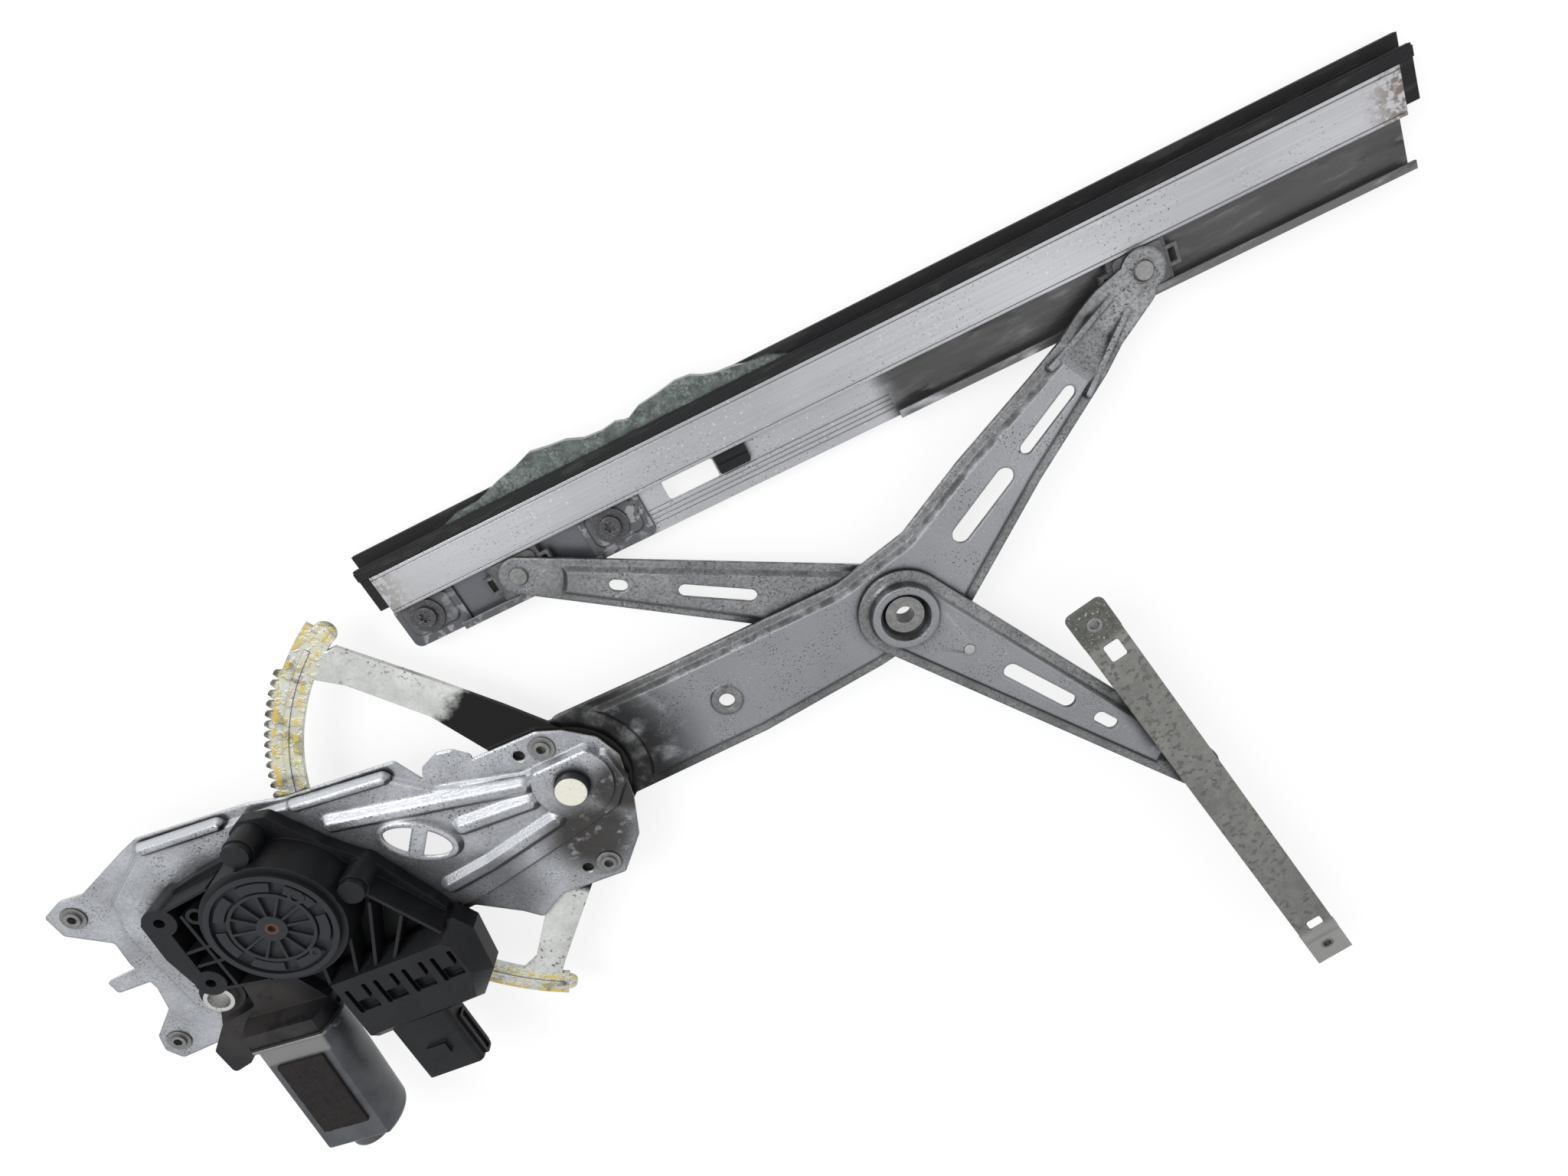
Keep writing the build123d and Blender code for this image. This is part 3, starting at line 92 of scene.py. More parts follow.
# Lines of old grease on the toothed sector: radius and half width in millimetres, and strength
GREASE_LINES = ((144.0, 2.2, 0.85), (154.5, 2.6, 0.9), (149.5, 1.6, 0.45))

# Front cross arm, in millimetres: distances from the cross pivot along its centre line
ARM_ALONG = Vector((GUIDE[0] - CROSS[0], GUIDE[1] - CROSS[1])).normalized()
PANEL_TOP = 3.1
PANEL_SHEET = 2.2
PANEL_BOTTOM = PANEL_TOP - PANEL_SHEET
PLUG_AT, PLUG_LENGTH, PLUG_WIDTH = 69.0, 48.3, 8.8  # closes the CAD's slot
SLOT_AT, SLOT_LENGTH, SLOT_WIDTH = 86.0, 46.0, 8.5
STUD_AT, STUD_RADIUS, STUD_RISE = 40.0, 2.9, 0.5
CUT_REACH = 20  # above and below the panel
WELD = 0.002
SHARP_FROM = 12  # degrees
SLOT_STEPS = 16  # at each end
RING_STEPS = 32

# Cross rivet's bore, in millimetres
CAD_BORE_LIMIT = 2.8  # the CAD's bore lies within it
BORE_TOP = 4.6
BORE_FLARE = 1.0  # more at the bottom

# Rattle pad, in millimetres
PAD_VOXEL = 0.7
PAD_GRAIN = 3.0
PAD_ROUGH = 0.6

# Stage, in metres
FLOOR_GAP = 0.002
FLOOR_HALF = 6.0
FLOOR_GREY = 0.86
FLOOR_GLOW = 0.80
SKY_COLOUR = (0.97, 0.98, 1.0, 1.0)
SKY_BRIGHT_SIDE = (-0.36, 0.46, 0.81)
SKY_RANGE = (("From Min", -0.15), ("From Max", 0.85), ("To Min", 0.55), ("To Max", 1.05))
MIDDLE = (0.09, -0.08, 0.0)
CAMERA_PLACE = (0.21036, 0.20410, 0.43055)
CAMERA_TURN = (-23.386, -3.653, -25.748)  # degrees
CAMERA_LENS = 21.632
CAMERA_SENSOR = 36.0


class Paint:
    """A procedural material: a base colour with layers of dirt, wear and grain over it."""

    def __init__(self, name, colour, rough, metal=0.0, specular=0.5):
        self.material = bpy.data.materials.new(name)
        self.material.use_nodes = True
        self.tree = self.material.node_tree
        self.tree.nodes.clear()
        self.shader = self.node("ShaderNodeBsdfPrincipled")
        output = self.node("ShaderNodeOutputMaterial")
        self.link(self.shader.outputs["BSDF"], output.inputs["Surface"])
        self.shader.inputs["Metallic"].default_value = metal
        self.shader.inputs["Specular IOR Level"].default_value = specular
        self.place = self.node("ShaderNodeTexCoord").outputs["Object"]
        self.colour = self.rgb(colour)
        self.rough = self.value(rough)
        self.metal = self.value(metal)
        self.height = None

    def node(self, kind, **settings):
        made = self.tree.nodes.new(kind)
        for key, setting in settings.items():
            setattr(made, key, setting)
        return made

    def link(self, source, target):
        self.tree.links.new(source, target)

    def feed(self, target, given):
        if hasattr(given, "is_output"):
            self.link(given, target)
        else:
            target.default_value = given

    def rgb(self, colour):
        made = self.node("ShaderNodeRGB")
        made.outputs[0].default_value = (*colour, 1.0)
        return made.outputs[0]

    def value(self, number):
        made = self.node("ShaderNodeValue")
        made.outputs[0].default_value = number
        return made.outputs[0]

    def math(self, operation, a, b=0.0):
        made = self.node("ShaderNodeMath", operation=operation)
        self.feed(made.inputs[0], a)
        self.feed(made.inputs[1], b)
        return made.outputs[0]

    def ramp(self, given, low, high):
        """0 below low, 1 above high, and smooth between."""
        made = self.node("ShaderNodeMapRange", interpolation_type="SMOOTHSTEP")
        self.feed(made.inputs["Value"], given)
        made.inputs["From Min"].default_value = low
        made.inputs["From Max"].default_value = high
        return made.outputs["Result"]

    def moved(self, scale=(1, 1, 1), turn=0.0):
        made = self.node("ShaderNodeMapping")
        self.link(self.place, made.inputs["Vector"])
        made.inputs["Scale"].default_value = scale
        made.inputs["Rotation"].default_value = (0, 0, radians(turn))
        return made.outputs["Vector"]

    def noise(self, size, low, high, detail=4.0, stretch=(1, 1, 1), turn=0.0, rough=0.55):
        """Blotches of about size millimetres, as a mask."""
        made = self.node("ShaderNodeTexNoise")
        self.link(self.moved(stretch, turn), made.inputs["Vector"])
        made.inputs["Scale"].default_value = 1.0 / (size * MM)
        made.inputs["Detail"].default_value = detail
        made.inputs["Roughness"].default_value = rough
        return self.ramp(made.outputs["Fac"], low, high)

    def cells(self, size, low, high):
        made = self.node("ShaderNodeTexVoronoi")
        self.link(self.place, made.inputs["Vector"])
        made.inputs["Scale"].default_value = 1.0 / (size * MM)
        return self.ramp(made.outputs["Distance"], low, high)

    def grains(self, size):
        """A different grey for each crystal grain."""
        made = self.node("ShaderNodeTexVoronoi")
        self.link(self.place, made.inputs["Vector"])
        made.inputs["Scale"].default_value = 1.0 / (size * MM)
        split = self.node("ShaderNodeSeparateColor")
        self.link(made.outputs["Color"], split.inputs[0])
        return split.outputs[0]

    def edges(self, width, low=0.02, high=0.3):
        """A mask of the edges, worn or caught by the light."""
        soft = self.node("ShaderNodeBevel", samples=4)
        soft.inputs["Radius"].default_value = width * MM
        plain = self.node("ShaderNodeNewGeometry").outputs["Normal"]
        dot = self.node("ShaderNodeVectorMath", operation="DOT_PRODUCT")
        self.link(soft.outputs["Normal"], dot.inputs[0])
        self.link(plain, dot.inputs[1])
        return self.ramp(self.math("SUBTRACT", 1.0, dot.outputs["Value"]), low, high)

    def creases(self, reach, low=0.35, high=0.95):
        """A mask of corners and recesses, where dirt stays."""
        made = self.node("ShaderNodeAmbientOcclusion", samples=6)
        made.inputs["Distance"].default_value = reach * MM
        return self.inverse(self.ramp(made.outputs["AO"], low, high))

    def near(self, centre, low, high):
        """A mask that is 1 at less than low millimetres from a line along Z, and 0 beyond high."""
        flat = self.node("ShaderNodeVectorMath", operation="MULTIPLY")
        self.link(self.place, flat.inputs[0])
        flat.inputs[1].default_value = (1, 1, 0)
        away = self.node("ShaderNodeVectorMath", operation="DISTANCE")
        self.link(flat.outputs["Vector"], away.inputs[0])
        away.inputs[1].default_value = (centre[0] * MM, centre[1] * MM, 0)
        return self.inverse(self.ramp(away.outputs["Value"], low * MM, high * MM))

    def beyond(self, normal, low, high):
        """A mask across a plane: 0 where normal . place is below low millimetres, 1 above high."""
        made = self.node("ShaderNodeVectorMath", operation="DOT_PRODUCT")
        self.link(self.place, made.inputs[0])
        made.inputs[1].default_value = normal
        return self.ramp(made.outputs["Value"], low * MM, high * MM)

    def facing(self, direction, low, high):
        """A mask of the slopes that face a direction in the piece's own space."""
        made = self.node("ShaderNodeVectorMath", operation="DOT_PRODUCT")
        self.link(self.node("ShaderNodeTexCoord").outputs["Normal"], made.inputs[0])
        made.inputs[1].default_value = direction
        return self.ramp(made.outputs["Value"], low, high)

    def inverse(self, mask):
        return self.math("SUBTRACT", 1.0, mask)

    def both(self, *masks):
        result = masks[0]
        for mask in masks[1:]:
            result = self.math("MULTIPLY", result, mask)
        return result

    def either(self, a, b):
        return self.math("MAXIMUM", a, b)

    def strength(self, mask, amount):
        return self.math("MULTIPLY", mask, amount)

    def layer(self, mask, colour=None, rough=None, metal=None):
        """Another finish where the mask is 1."""
        if colour is not None:
            made = self.node("ShaderNodeMix", data_type="RGBA")
            self.feed(made.inputs["Factor"], mask)
            self.link(self.colour, made.inputs["A"])
            made.inputs["B"].default_value = (*colour, 1.0)
            self.colour = made.outputs["Result"]
        if rough is not None:
            self.rough = self.blend(mask, self.rough, rough)
        if metal is not None:
            self.metal = self.blend(mask, self.metal, metal)

    def blend(self, mask, old, new):
        made = self.node("ShaderNodeMix", data_type="FLOAT")
        self.feed(made.inputs["Factor"], mask)
        self.link(old, made.inputs["A"])
        made.inputs["B"].default_value = new
        return made.outputs["Result"]

    def shade(self, mask, low, high):
        """Multiplies the colour by a grey between low and high, by the mask."""
        grey = self.node("ShaderNodeMapRange")
        self.feed(grey.inputs["Value"], mask)
        grey.inputs["To Min"].default_value = low
        grey.inputs["To Max"].default_value = high
        made = self.node("ShaderNodeVectorMath", operation="SCALE")
        self.link(self.colour, made.inputs[0])
        self.link(grey.outputs["Result"], made.inputs["Scale"])
        self.colour = made.outputs["Vector"]

    def relief(self, mask, depth):
        """Raises the surface by depth millimetres where the mask is 1."""
        step = self.math("MULTIPLY", mask, depth)
        self.height = step if self.height is None else self.math("ADD", self.height, step)

    def done(self, soften=0.0):
        self.link(self.colour, self.shader.inputs["Base Color"])
        self.link(self.rough, self.shader.inputs["Roughness"])
        self.link(self.metal, self.shader.inputs["Metallic"])
        normal = None
        if soften:
            bevel = self.node("ShaderNodeBevel", samples=4)
            bevel.inputs["Radius"].default_value = soften * MM
            normal = bevel.outputs["Normal"]
        if self.height is not None:
            bump = self.node("ShaderNodeBump")
            bump.inputs["Distance"].default_value = MM
            self.link(self.height, bump.inputs["Height"])
            if normal is not None:
                self.link(normal, bump.inputs["Normal"])
            normal = bump.outputs["Normal"]
        if normal is not None:
            self.link(normal, self.shader.inputs["Normal"])
        return self.material


def base_zinc():
    """Zinc-plated plate, grimy in its recesses, with painted shade on the slopes turned away from
    the light and a painted highlight on the slopes turned towards it.
    """
    p = Paint("base_zinc", (0.43, 0.44, 0.46), 0.24, 0.95)
    p.shade(p.noise(34, 0.3, 0.7), 0.78, 1.12)
    p.shade(p.grains(1.1), 0.88, 1.10)
    pits = p.both(p.noise(1.3, 0.58, 0.64, detail=2), p.noise(26, 0.40, 0.60))
    p.layer(p.strength(pits, 0.85), (0.060, 0.056, 0.050), 0.7, 0.5)
    grime = p.both(p.creases(9, 0.45, 0.98), p.noise(16, 0.25, 0.55))
    p.layer(p.strength(grime, 0.9), (0.022, 0.021, 0.020), 0.5, 0.8)
    slope = p.either(p.near(BOSS_SLOPES[0], 14, 36), p.near(BOSS_SLOPES[1], 12, 28))
    slope = p.both(slope, p.noise(8, 0.24, 0.44))
    p.layer(p.strength(slope, 0.92), (0.030, 0.026, 0.022), 0.40, 0.8)
    under = p.both(p.beyond((-0.35, -0.94, 0), 52, 66), p.near(PLATE_MIDDLE, 40, 70))
    p.layer(p.strength(under, 0.65), (0.04, 0.04, 0.042), 0.42, 0.8)
    p.layer(p.strength(p.edges(1.2), 0.40), (0.78, 0.79, 0.81), 0.28)
    # painted shade: slopes turned to the lower right are darkened in patches
    lee_shade = p.both(p.facing(PLATE_SHADE_SIDE, 0.12, 0.55), p.noise(18, 0.15, 0.45))
    p.layer(p.strength(lee_shade, 0.88), (0.045, 0.045, 0.048), 0.34, 0.9)
    # painted highlight: slopes turned to the upper left are lightened
    lit_side_highlight = p.facing(PLATE_HIGHLIGHT_SIDE, 0.15, 0.6)
    p.layer(p.strength(lit_side_highlight, 0.6), (0.70, 0.72, 0.75), 0.25)
    p.relief(p.noise(1.2, 0.3, 0.7), 0.05)
    return p.done(2.2)


def sector_silver():
    """Bare steel sector: black towards its hub, with old grease along its rim."""
    p = Paint("sector_silver", (0.60, 0.61, 0.58), 0.32, 0.7)
    p.shade(p.noise(20, 0.3, 0.7), 0.80, 1.06)
    p.shade(p.grains(1.3), 0.92, 1.05)
    chips = p.both(p.noise(2.6, 0.58, 0.63, detail=3), p.noise(30, 0.42, 0.60))
    p.layer(p.strength(chips, 0.85), (0.07, 0.06, 0.05), 0.6, 0.3)
    hub = p.near(PIVOT, 62, 94)
    ragged = p.math("ADD", hub, p.strength(p.noise(9, 0.3, 0.7), 0.25))
    p.layer(p.ramp(ragged, 0.50, 0.85), (0.017, 0.016, 0.016), 0.36, 0.9)
    rim = p.inverse(p.near(PIVOT, 138, 142))
    dark = p.both(rim, p.noise(13, 0.56, 0.66, detail=3))
    p.layer(p.strength(dark, 0.7), (0.10, 0.095, 0.085), 0.25, 0.6)
    wipes = p.noise(4.5, 0.46, 0.55, detail=4)
    film = p.both(rim, p.noise(11, 0.36, 0.60))
    p.layer(p.strength(film, 0.40), (0.60, 0.54, 0.22), 0.2, 0.3)
    for ring, width, amount in GREASE_LINES:
        outer = p.near(PIVOT, ring, ring + width)
        inner = p.near(PIVOT, ring - width, ring)
        line = p.both(p.math("SUBTRACT", outer, inner), wipes)
        p.layer(p.strength(line, amount), (0.55, 0.40, 0.04), 0.16, 0.2)
    teeth = p.both(p.inverse(p.near(PIVOT, 156.0, 158.0)), p.noise(4, 0.25, 0.5))
    p.layer(p.strength(teeth, 0.9), (0.05, 0.040, 0.022), 0.3, 0.5)
    p.layer(p.strength(p.creases(3), 0.8), (0.03, 0.026, 0.02), 0.5, 0.5)
    p.relief(p.both(rim, wipes), 0.25)
    return p.done(0.5)


def arm_zinc():
    """Zinc-plated arms: smooth panels, coarser rims, black at the main pivot."""
    p = Paint("arm_zinc", (0.240, 0.244, 0.250), 0.30, 0.92)
    p.shade(p.noise(42, 0.3, 0.7), 0.74, 1.16)
    p.shade(p.grains(1.0), 0.88, 1.10)
    main_panel = p.both(p.beyond(UP, -4.4, -2.8), p.inverse(p.beyond(UP, -1.9, -1.6)))
    panel = p.either(main_panel, p.beyond(UP, 1.5, 2.8))
    p.layer(p.strength(panel, 0.75), (0.290, 0.297, 0.312), 0.26)
    rough = p.both(p.inverse(panel), p.noise(2.0, 0.45, 0.62, detail=5))
    p.layer(p.strength(rough, 0.45), (0.120, 0.112, 0.100), 0.5)
    specks = p.both(p.noise(1.0, 0.61, 0.67, detail=1), p.noise(24, 0.42, 0.62))
    p.layer(p.strength(specks, 0.8), (0.030, 0.030, 0.028), 0.6, 0.6)
    pale = p.both(p.noise(1.1, 0.62, 0.69, detail=2), p.noise(34, 0.46, 0.64))
    p.layer(p.strength(pale, 0.7), (0.52, 0.53, 0.54), 0.45)
    grime = p.both(p.creases(8, 0.45, 0.99), p.noise(12, 0.22, 0.5))
    p.layer(p.strength(grime, 0.95), (0.016, 0.016, 0.017), 0.5, 0.8)
    boss = p.both(p.near(PIVOT, 46, 88), p.noise(14, 0.20, 0.55))
    p.layer(p.strength(boss, 0.95), (0.014, 0.014, 0.014), 0.38, 0.9)
    p.layer(p.strength(p.edges(1.1, 0.05, 0.5), 0.30), (0.52, 0.53, 0.54), 0.32)
    # painted shade: slopes turned to the lower left, above z 0.4 mm, are darkened
    lee_shade = p.both(p.facing(ARM_LOWER_SHADE_SIDE, 0.15, 0.55), p.beyond(UP, 0.32, 0.42))
    p.layer(p.strength(lee_shade, 0.90), (0.020, 0.020, 0.022), 0.34, 0.9)
    # painted shade: slopes turned to the upper left are darkened in patches
    upper = p.both(p.facing(ARM_UPPER_SHADE_SIDE, 0.15, 0.6), p.noise(9, 0.35, 0.60))
    p.layer(p.strength(upper, 0.75), (0.050, 0.048, 0.045), 0.40, 0.9)
    stud = p.both(p.near(STUD, 2.7, 2.9), p.beyond(UP, 3.2, 3.5))
    p.layer(p.strength(stud, 0.8), (0.46, 0.46, 0.44), 0.3)
    p.layer(p.edges(1.8, 0.02, 0.2), rough=0.50)
    p.relief(p.noise(1.0, 0.3, 0.7), 0.03)
    return p.done(1.8)


def guide_steel():
    """Dull galvanised guide rail with dark spots, darker at its upper tab."""
    p = Paint("guide_steel", (0.215, 0.213, 0.200), 0.38, 0.85)
    p.shade(p.noise(60, 0.3, 0.7), 0.86, 1.10)
    p.shade(p.noise(6, 0.3, 0.7, detail=3), 0.90, 1.08)
    spots = p.both(p.noise(3.8, 0.54, 0.60, detail=2), p.noise(30, 0.32, 0.52))
    p.layer(p.strength(spots, 0.7), (0.085, 0.085, 0.078), 0.6, 0.6)
    tab = p.inverse(p.beyond(GUIDE_ALONG, 133, 138))
    p.layer(p.strength(tab, 0.75), (0.075, 0.080, 0.068), 0.4, 0.7)
    p.layer(p.both(tab, p.noise(1.6, 0.60, 0.68)), (0.40, 0.40, 0.38), 0.5)
    lighter = p.beyond(GUIDE_ALONG, 385, 392)
    p.layer(p.strength(lighter, 0.7), (0.42, 0.42, 0.40), 0.34)
    p.layer(p.strength(p.noise(1.1, 0.66, 0.71, detail=2), 0.5), (0.45, 0.45, 0.43))
    p.layer(p.strength(p.edges(0.9, 0.05, 0.5), 0.4), (0.36, 0.36, 0.34), 0.35)
    p.relief(p.noise(1.0, 0.3, 0.7), 0.03)
    return p.done(0.8)


def rail_aluminium():
    """Extruded aluminium: drawn lines, salt on the left, rust on the right, grease below."""
    p = Paint("rail_aluminium", (0.46, 0.46, 0.475), 0.28, 0.95)
    lines = p.noise(0.7, 0.3, 0.7, detail=2, stretch=(0.004, 1, 1))
    p.shade(lines, 0.93, 1.04)
    p.shade(p.noise(70, 0.3, 0.7, stretch=(0.5, 1, 1)), 0.86, 1.10)
    p.shade(p.beyond(RAIL_RIGHT, 60, 500), 1.06, 0.80)
    left = p.inverse(p.beyond(RAIL_RIGHT, -30, -4))
    salt = p.both(left, p.noise(2.4, 0.44, 0.52, detail=6))
    p.layer(p.strength(salt, 0.85), (0.21, 0.20, 0.18), 0.85, 0.1)
    spots = p.both(p.noise(1.6, 0.62, 0.68), p.noise(50, 0.48, 0.6))
    p.layer(p.strength(spots, 0.5), (0.76, 0.76, 0.76), 0.7, 0.2)
    pits = p.both(p.noise(1.3, 0.63, 0.67, detail=2), p.noise(34, 0.45, 0.6))
    p.layer(p.strength(pits, 0.8), (0.10, 0.10, 0.10), 0.6, 0.3)
    rust = p.both(p.beyond(RAIL_RIGHT, 474, 498), p.noise(3.0, 0.42, 0.58, detail=6))
    p.layer(p.strength(rust, 0.85), (0.11, 0.06, 0.022), 0.75, 0.1)
    low = p.inverse(p.beyond(RAIL_UP, 95, 98))
    deep = p.inverse(p.beyond(UP, -16.5, -15.0))
    greasy = p.both(p.math("MULTIPLY", low, deep), p.beyond(RAIL_RIGHT, 232, 250))
    p.layer(p.strength(greasy, 0.85), (0.030, 0.030, 0.030), 0.26, 0.85)
    wet = p.noise(16, 0.48, 0.60, detail=5, stretch=(0.3, 1, 1))
    p.layer(p.strength(p.both(greasy, wet), 0.8), (0.008, 0.008, 0.009), 0.24, 0.85)
    scraped = p.both(greasy, p.noise(5, 0.50, 0.60, detail=5, stretch=(0.15, 1, 1)))
    p.layer(p.strength(scraped, 0.7), (0.20, 0.20, 0.20), 0.4)
    smears = p.noise(9, 0.30, 0.52, detail=5, stretch=(0.3, 1, 1))
    lip = p.both(low, p.beyond(RAIL_RIGHT, 232, 250), smears)
    p.layer(p.strength(lip, 0.85), (0.070, 0.070, 0.068), 0.4, 0.8)
    seat = p.both(low, p.inverse(p.beyond(RAIL_RIGHT, 98, 112)))
    p.layer(p.strength(seat, 0.85), (0.075, 0.080, 0.090), 0.36, 0.85)
    p.layer(p.strength(p.creases(5), 0.7), (0.05, 0.05, 0.05), 0.6, 0.6)
    # painted shade: faces turned towards -Y, the rail's lower side, are darkened
    under = p.facing((0, -1, 0), 0.2, 0.7)
    p.layer(p.strength(under, 0.7), (0.05, 0.05, 0.052), 0.4, 0.8)
    p.relief(lines, 0.01)
    return p.done(0.3)


def moulded_black(name, dust=0.3):
    """Black moulded housing with dust and pale edges."""
    p = Paint(name, (0.0070, 0.0074, 0.0086), 0.44, 0.0, specular=0.22)
    p.shade(p.noise(18, 0.3, 0.7), 0.8, 1.3)
    cover = p.both(p.near(GEAR, 33.6, 34.4), p.beyond(UP, 27.0, 27.6))
    p.layer(p.strength(cover, 0.9), (0.017, 0.018, 0.021), 0.46)
    p.layer(p.strength(p.noise(3.0, 0.52, 0.75), 0.06 + dust * 0.14), (0.05, 0.045, 0.042), 0.8)
    worm = p.both(p.near(WORM, 24, 40), p.noise(12, 0.25, 0.55))
    p.layer(p.strength(worm, dust * 1.6), (0.046, 0.040, 0.036), 0.85)
    copper = p.near(GEAR, 3.0, 4.0)
    p.layer(p.strength(copper, 0.7), (0.10, 0.045, 0.030), 0.5)
    p.layer(p.strength(p.edges(0.6), 0.30), (0.050, 0.054, 0.062), 0.4)
    p.relief(p.noise(0.5, 0.3, 0.7, detail=2), 0.025)
    return p.done(0.6)


def can_steel():
    """Painted steel can with a bare flange."""
    p = Paint("can_steel", (0.072, 0.076, 0.082), 0.38, 0.55)
    p.shade(p.noise(15, 0.3, 0.7), 0.85, 1.2)
    p.layer(p.strength(p.noise(1.6, 0.62, 0.70), 0.35), (0.12, 0.12, 0.12), 0.6)
    flange = p.both(p.beyond(CAN_UP, -129, -126), p.beyond(UP, 31.6, 32.4))
    p.layer(p.strength(flange, 0.75), (0.26, 0.26, 0.25), 0.40, 0.8)
    cup = p.inverse(p.beyond(CAN_UP, -203, -200))
    p.layer(p.strength(cup, 0.4), (0.12, 0.12, 0.12), 0.4, 0.7)
    p.relief(p.noise(0.9, 0.3, 0.7), 0.04)
    return p.done(1.2)


def fastener():
    """Rivets, pins, inserts and bushing: one finish, with each place's own dirt."""
    p = Paint("fastener", (0.235, 0.236, 0.230), 0.34, 0.88)
    p.shade(p.noise(3, 0.3, 0.7), 0.80, 1.12)
    face = p.beyond(UP, 11.6, 11.9)
    cream = p.both(face, p.near(PIVOT, 12, 13))
    p.layer(p.strength(cream, 0.9), (0.72, 0.70, 0.60), 0.42, 0.3)
    wall = p.both(p.near(PIVOT, 12, 13), p.inverse(face))
    p.layer(p.strength(wall, 0.88), (0.025, 0.026, 0.032), 0.35, 0.8)
    bore = p.both(p.near(CROSS, 5.7, 5.8), p.inverse(p.beyond(UP, 1.85, 1.95)))
    p.layer(p.strength(bore, 0.9), (0.020, 0.020, 0.020), 0.4, 0.8)
    bright = p.near(BUSHING, 10, 11)
    p.layer(p.strength(bright, 0.8), (0.62, 0.62, 0.60), 0.25, 0.9)
    grease = p.both(p.near(GEAR, 20, 21), p.noise(4, 0.4, 0.6))
    p.layer(p.strength(grease, 0.6), (0.30, 0.22, 0.04), 0.25, 0.4)
    grime = p.both(p.creases(2.5), p.noise(3, 0.3, 0.6))
    p.layer(p.strength(grime, 0.85), (0.030, 0.027, 0.024), 0.6, 0.6)
    p.layer(p.strength(p.noise(1.0, 0.60, 0.68), 0.6), (0.10, 0.085, 0.07), 0.6)
    p.relief(p.noise(0.8, 0.3, 0.7), 0.03)
    return p.done(0.4)


def screw_black():
    """Blackened screws, bare at their edges."""
    p = Paint("screw_black", (0.055, 0.055, 0.06), 0.42, 0.5)
    p.layer(p.strength(p.edges(0.6), 0.7), (0.36, 0.36, 0.36), 0.35)
    p.layer(p.strength(p.noise(1.4, 0.55, 0.68), 0.5), (0.20, 0.19, 0.18), 0.6)
    p.relief(p.noise(0.8, 0.3, 0.7), 0.03)
    return p.done(0.4)


def bracket_paint():
    """Painted bracket with bare patches."""
    p = Paint("bracket_paint", (0.095, 0.096, 0.104), 0.36, 0.55)
    bare = p.both(p.noise(5, 0.52, 0.57, detail=6), p.noise(20, 0.42, 0.6))
    p.layer(p.strength(bare, 0.7), (0.34, 0.34, 0.34), 0.38, 0.75)
    p.layer(p.strength(p.edges(0.8), 0.6), (0.42, 0.42, 0.42), 0.33, 0.75)
    p.layer(p.strength(p.creases(5), 0.8), (0.020, 0.020, 0.020), 0.6, 0.0)
    p.relief(bare, -0.04)
    return p.done(0.7)


def rubber():
    """Black rubber with dust drawn along it."""
    p = Paint("rubber", (0.0090, 0.0092, 0.0100), 0.60, 0.0, specular=0.22)
    dust = p.noise(5, 0.52, 0.70, stretch=(0.2, 1, 1))
    p.layer(p.strength(dust, 0.30), (0.07, 0.068, 0.064), 0.9)
    p.layer(p.strength(p.edges(0.6), 0.3), (0.10, 0.10, 0.10), 0.8)
    p.relief(p.noise(1.0, 0.3, 0.7), 0.04)
    return p.done(0.4)


def slider_polymer():
    """Dark sliders, scuffed."""
    p = Paint("slider_polymer", (0.06, 0.06, 0.062), 0.45)
    p.layer(p.strength(p.noise(3, 0.45, 0.65), 0.4), (0.16, 0.155, 0.15), 0.6)
    p.relief(p.noise(0.6, 0.3, 0.7), 0.02)
    return p.done(0.4)


def wheel_polymer():
    """Natural polymer with grease."""
    p = Paint("wheel_polymer", (0.62, 0.60, 0.52), 0.45)
    p.layer(p.strength(p.noise(5, 0.45, 0.6), 0.5), (0.42, 0.34, 0.12), 0.25)
    p.relief(p.noise(0.6, 0.3, 0.7), 0.02)
    return p.done(0.3)


def foam():
    """Crumbling foam."""
    p = Paint("foam", (0.020, 0.0175, 0.017), 0.95, 0.0, specular=0.15)
    p.layer(p.strength(p.noise(6, 0.42, 0.66), 0.5), (0.010, 0.010, 0.011), 0.95)
    p.layer(p.strength(p.noise(1.2, 0.52, 0.7), 0.4), (0.045, 0.036, 0.031))
    p.relief(p.cells(0.9, 0.1, 0.6), 0.2)
    return p.done()


def glass():
    """Crushed tempered glass."""
    p = Paint("glass", (0.085, 0.105, 0.098), 0.20, 0.0)
    p.shader.inputs["Transmission Weight"].default_value = 0.15
    p.shader.inputs["IOR"].default_value = 1.5
    p.shade(p.noise(6, 0.3, 0.7), 0.55, 1.3)
    crush = p.both(p.noise(1.5, 0.46, 0.60, detail=6), p.noise(10, 0.35, 0.6))
    p.layer(p.strength(crush, 0.5), (0.26, 0.30, 0.28), 0.5)
    cracks = p.inverse(p.cells(3.2, 0.03, 0.12))
    p.layer(p.strength(cracks, 0.35), (0.42, 0.47, 0.44), 0.4)
    p.relief(p.grains(2.6), 0.5)
    return p.done()


SLOTS = {
    "plate_zinc": base_zinc(),
    "fastener_steel": fastener(),
    "arm_steel": arm_zinc(),
    "sector_steel": sector_silver(),
    "guide_steel": guide_steel(),
    "rail_aluminium": rail_aluminium(),
    "can_steel": can_steel(),
    "bracket_paint": bracket_paint(),
    "screw_black": screw_black(),
    "gearbox_black": moulded_black("gearbox_black"),
    "dark_polymer": moulded_black("dark_polymer", 0.15),
    "slider_polymer": slider_polymer(),
    "wheel_polymer": wheel_polymer(),
    "dark_rubber": rubber(),
    "foam": foam(),
    "glass": glass(),
}

for part in frame["record"]["subparts"]:
    piece = NODES[part["node"]]
    piece.data.materials.clear()
    piece.data.materials.append(SLOTS[part["material_slot"]])


def placed(name, data):
    """A new object in the scene."""
    made = bpy.data.objects.new(name, data)
    bpy.context.collection.objects.link(made)
    return made


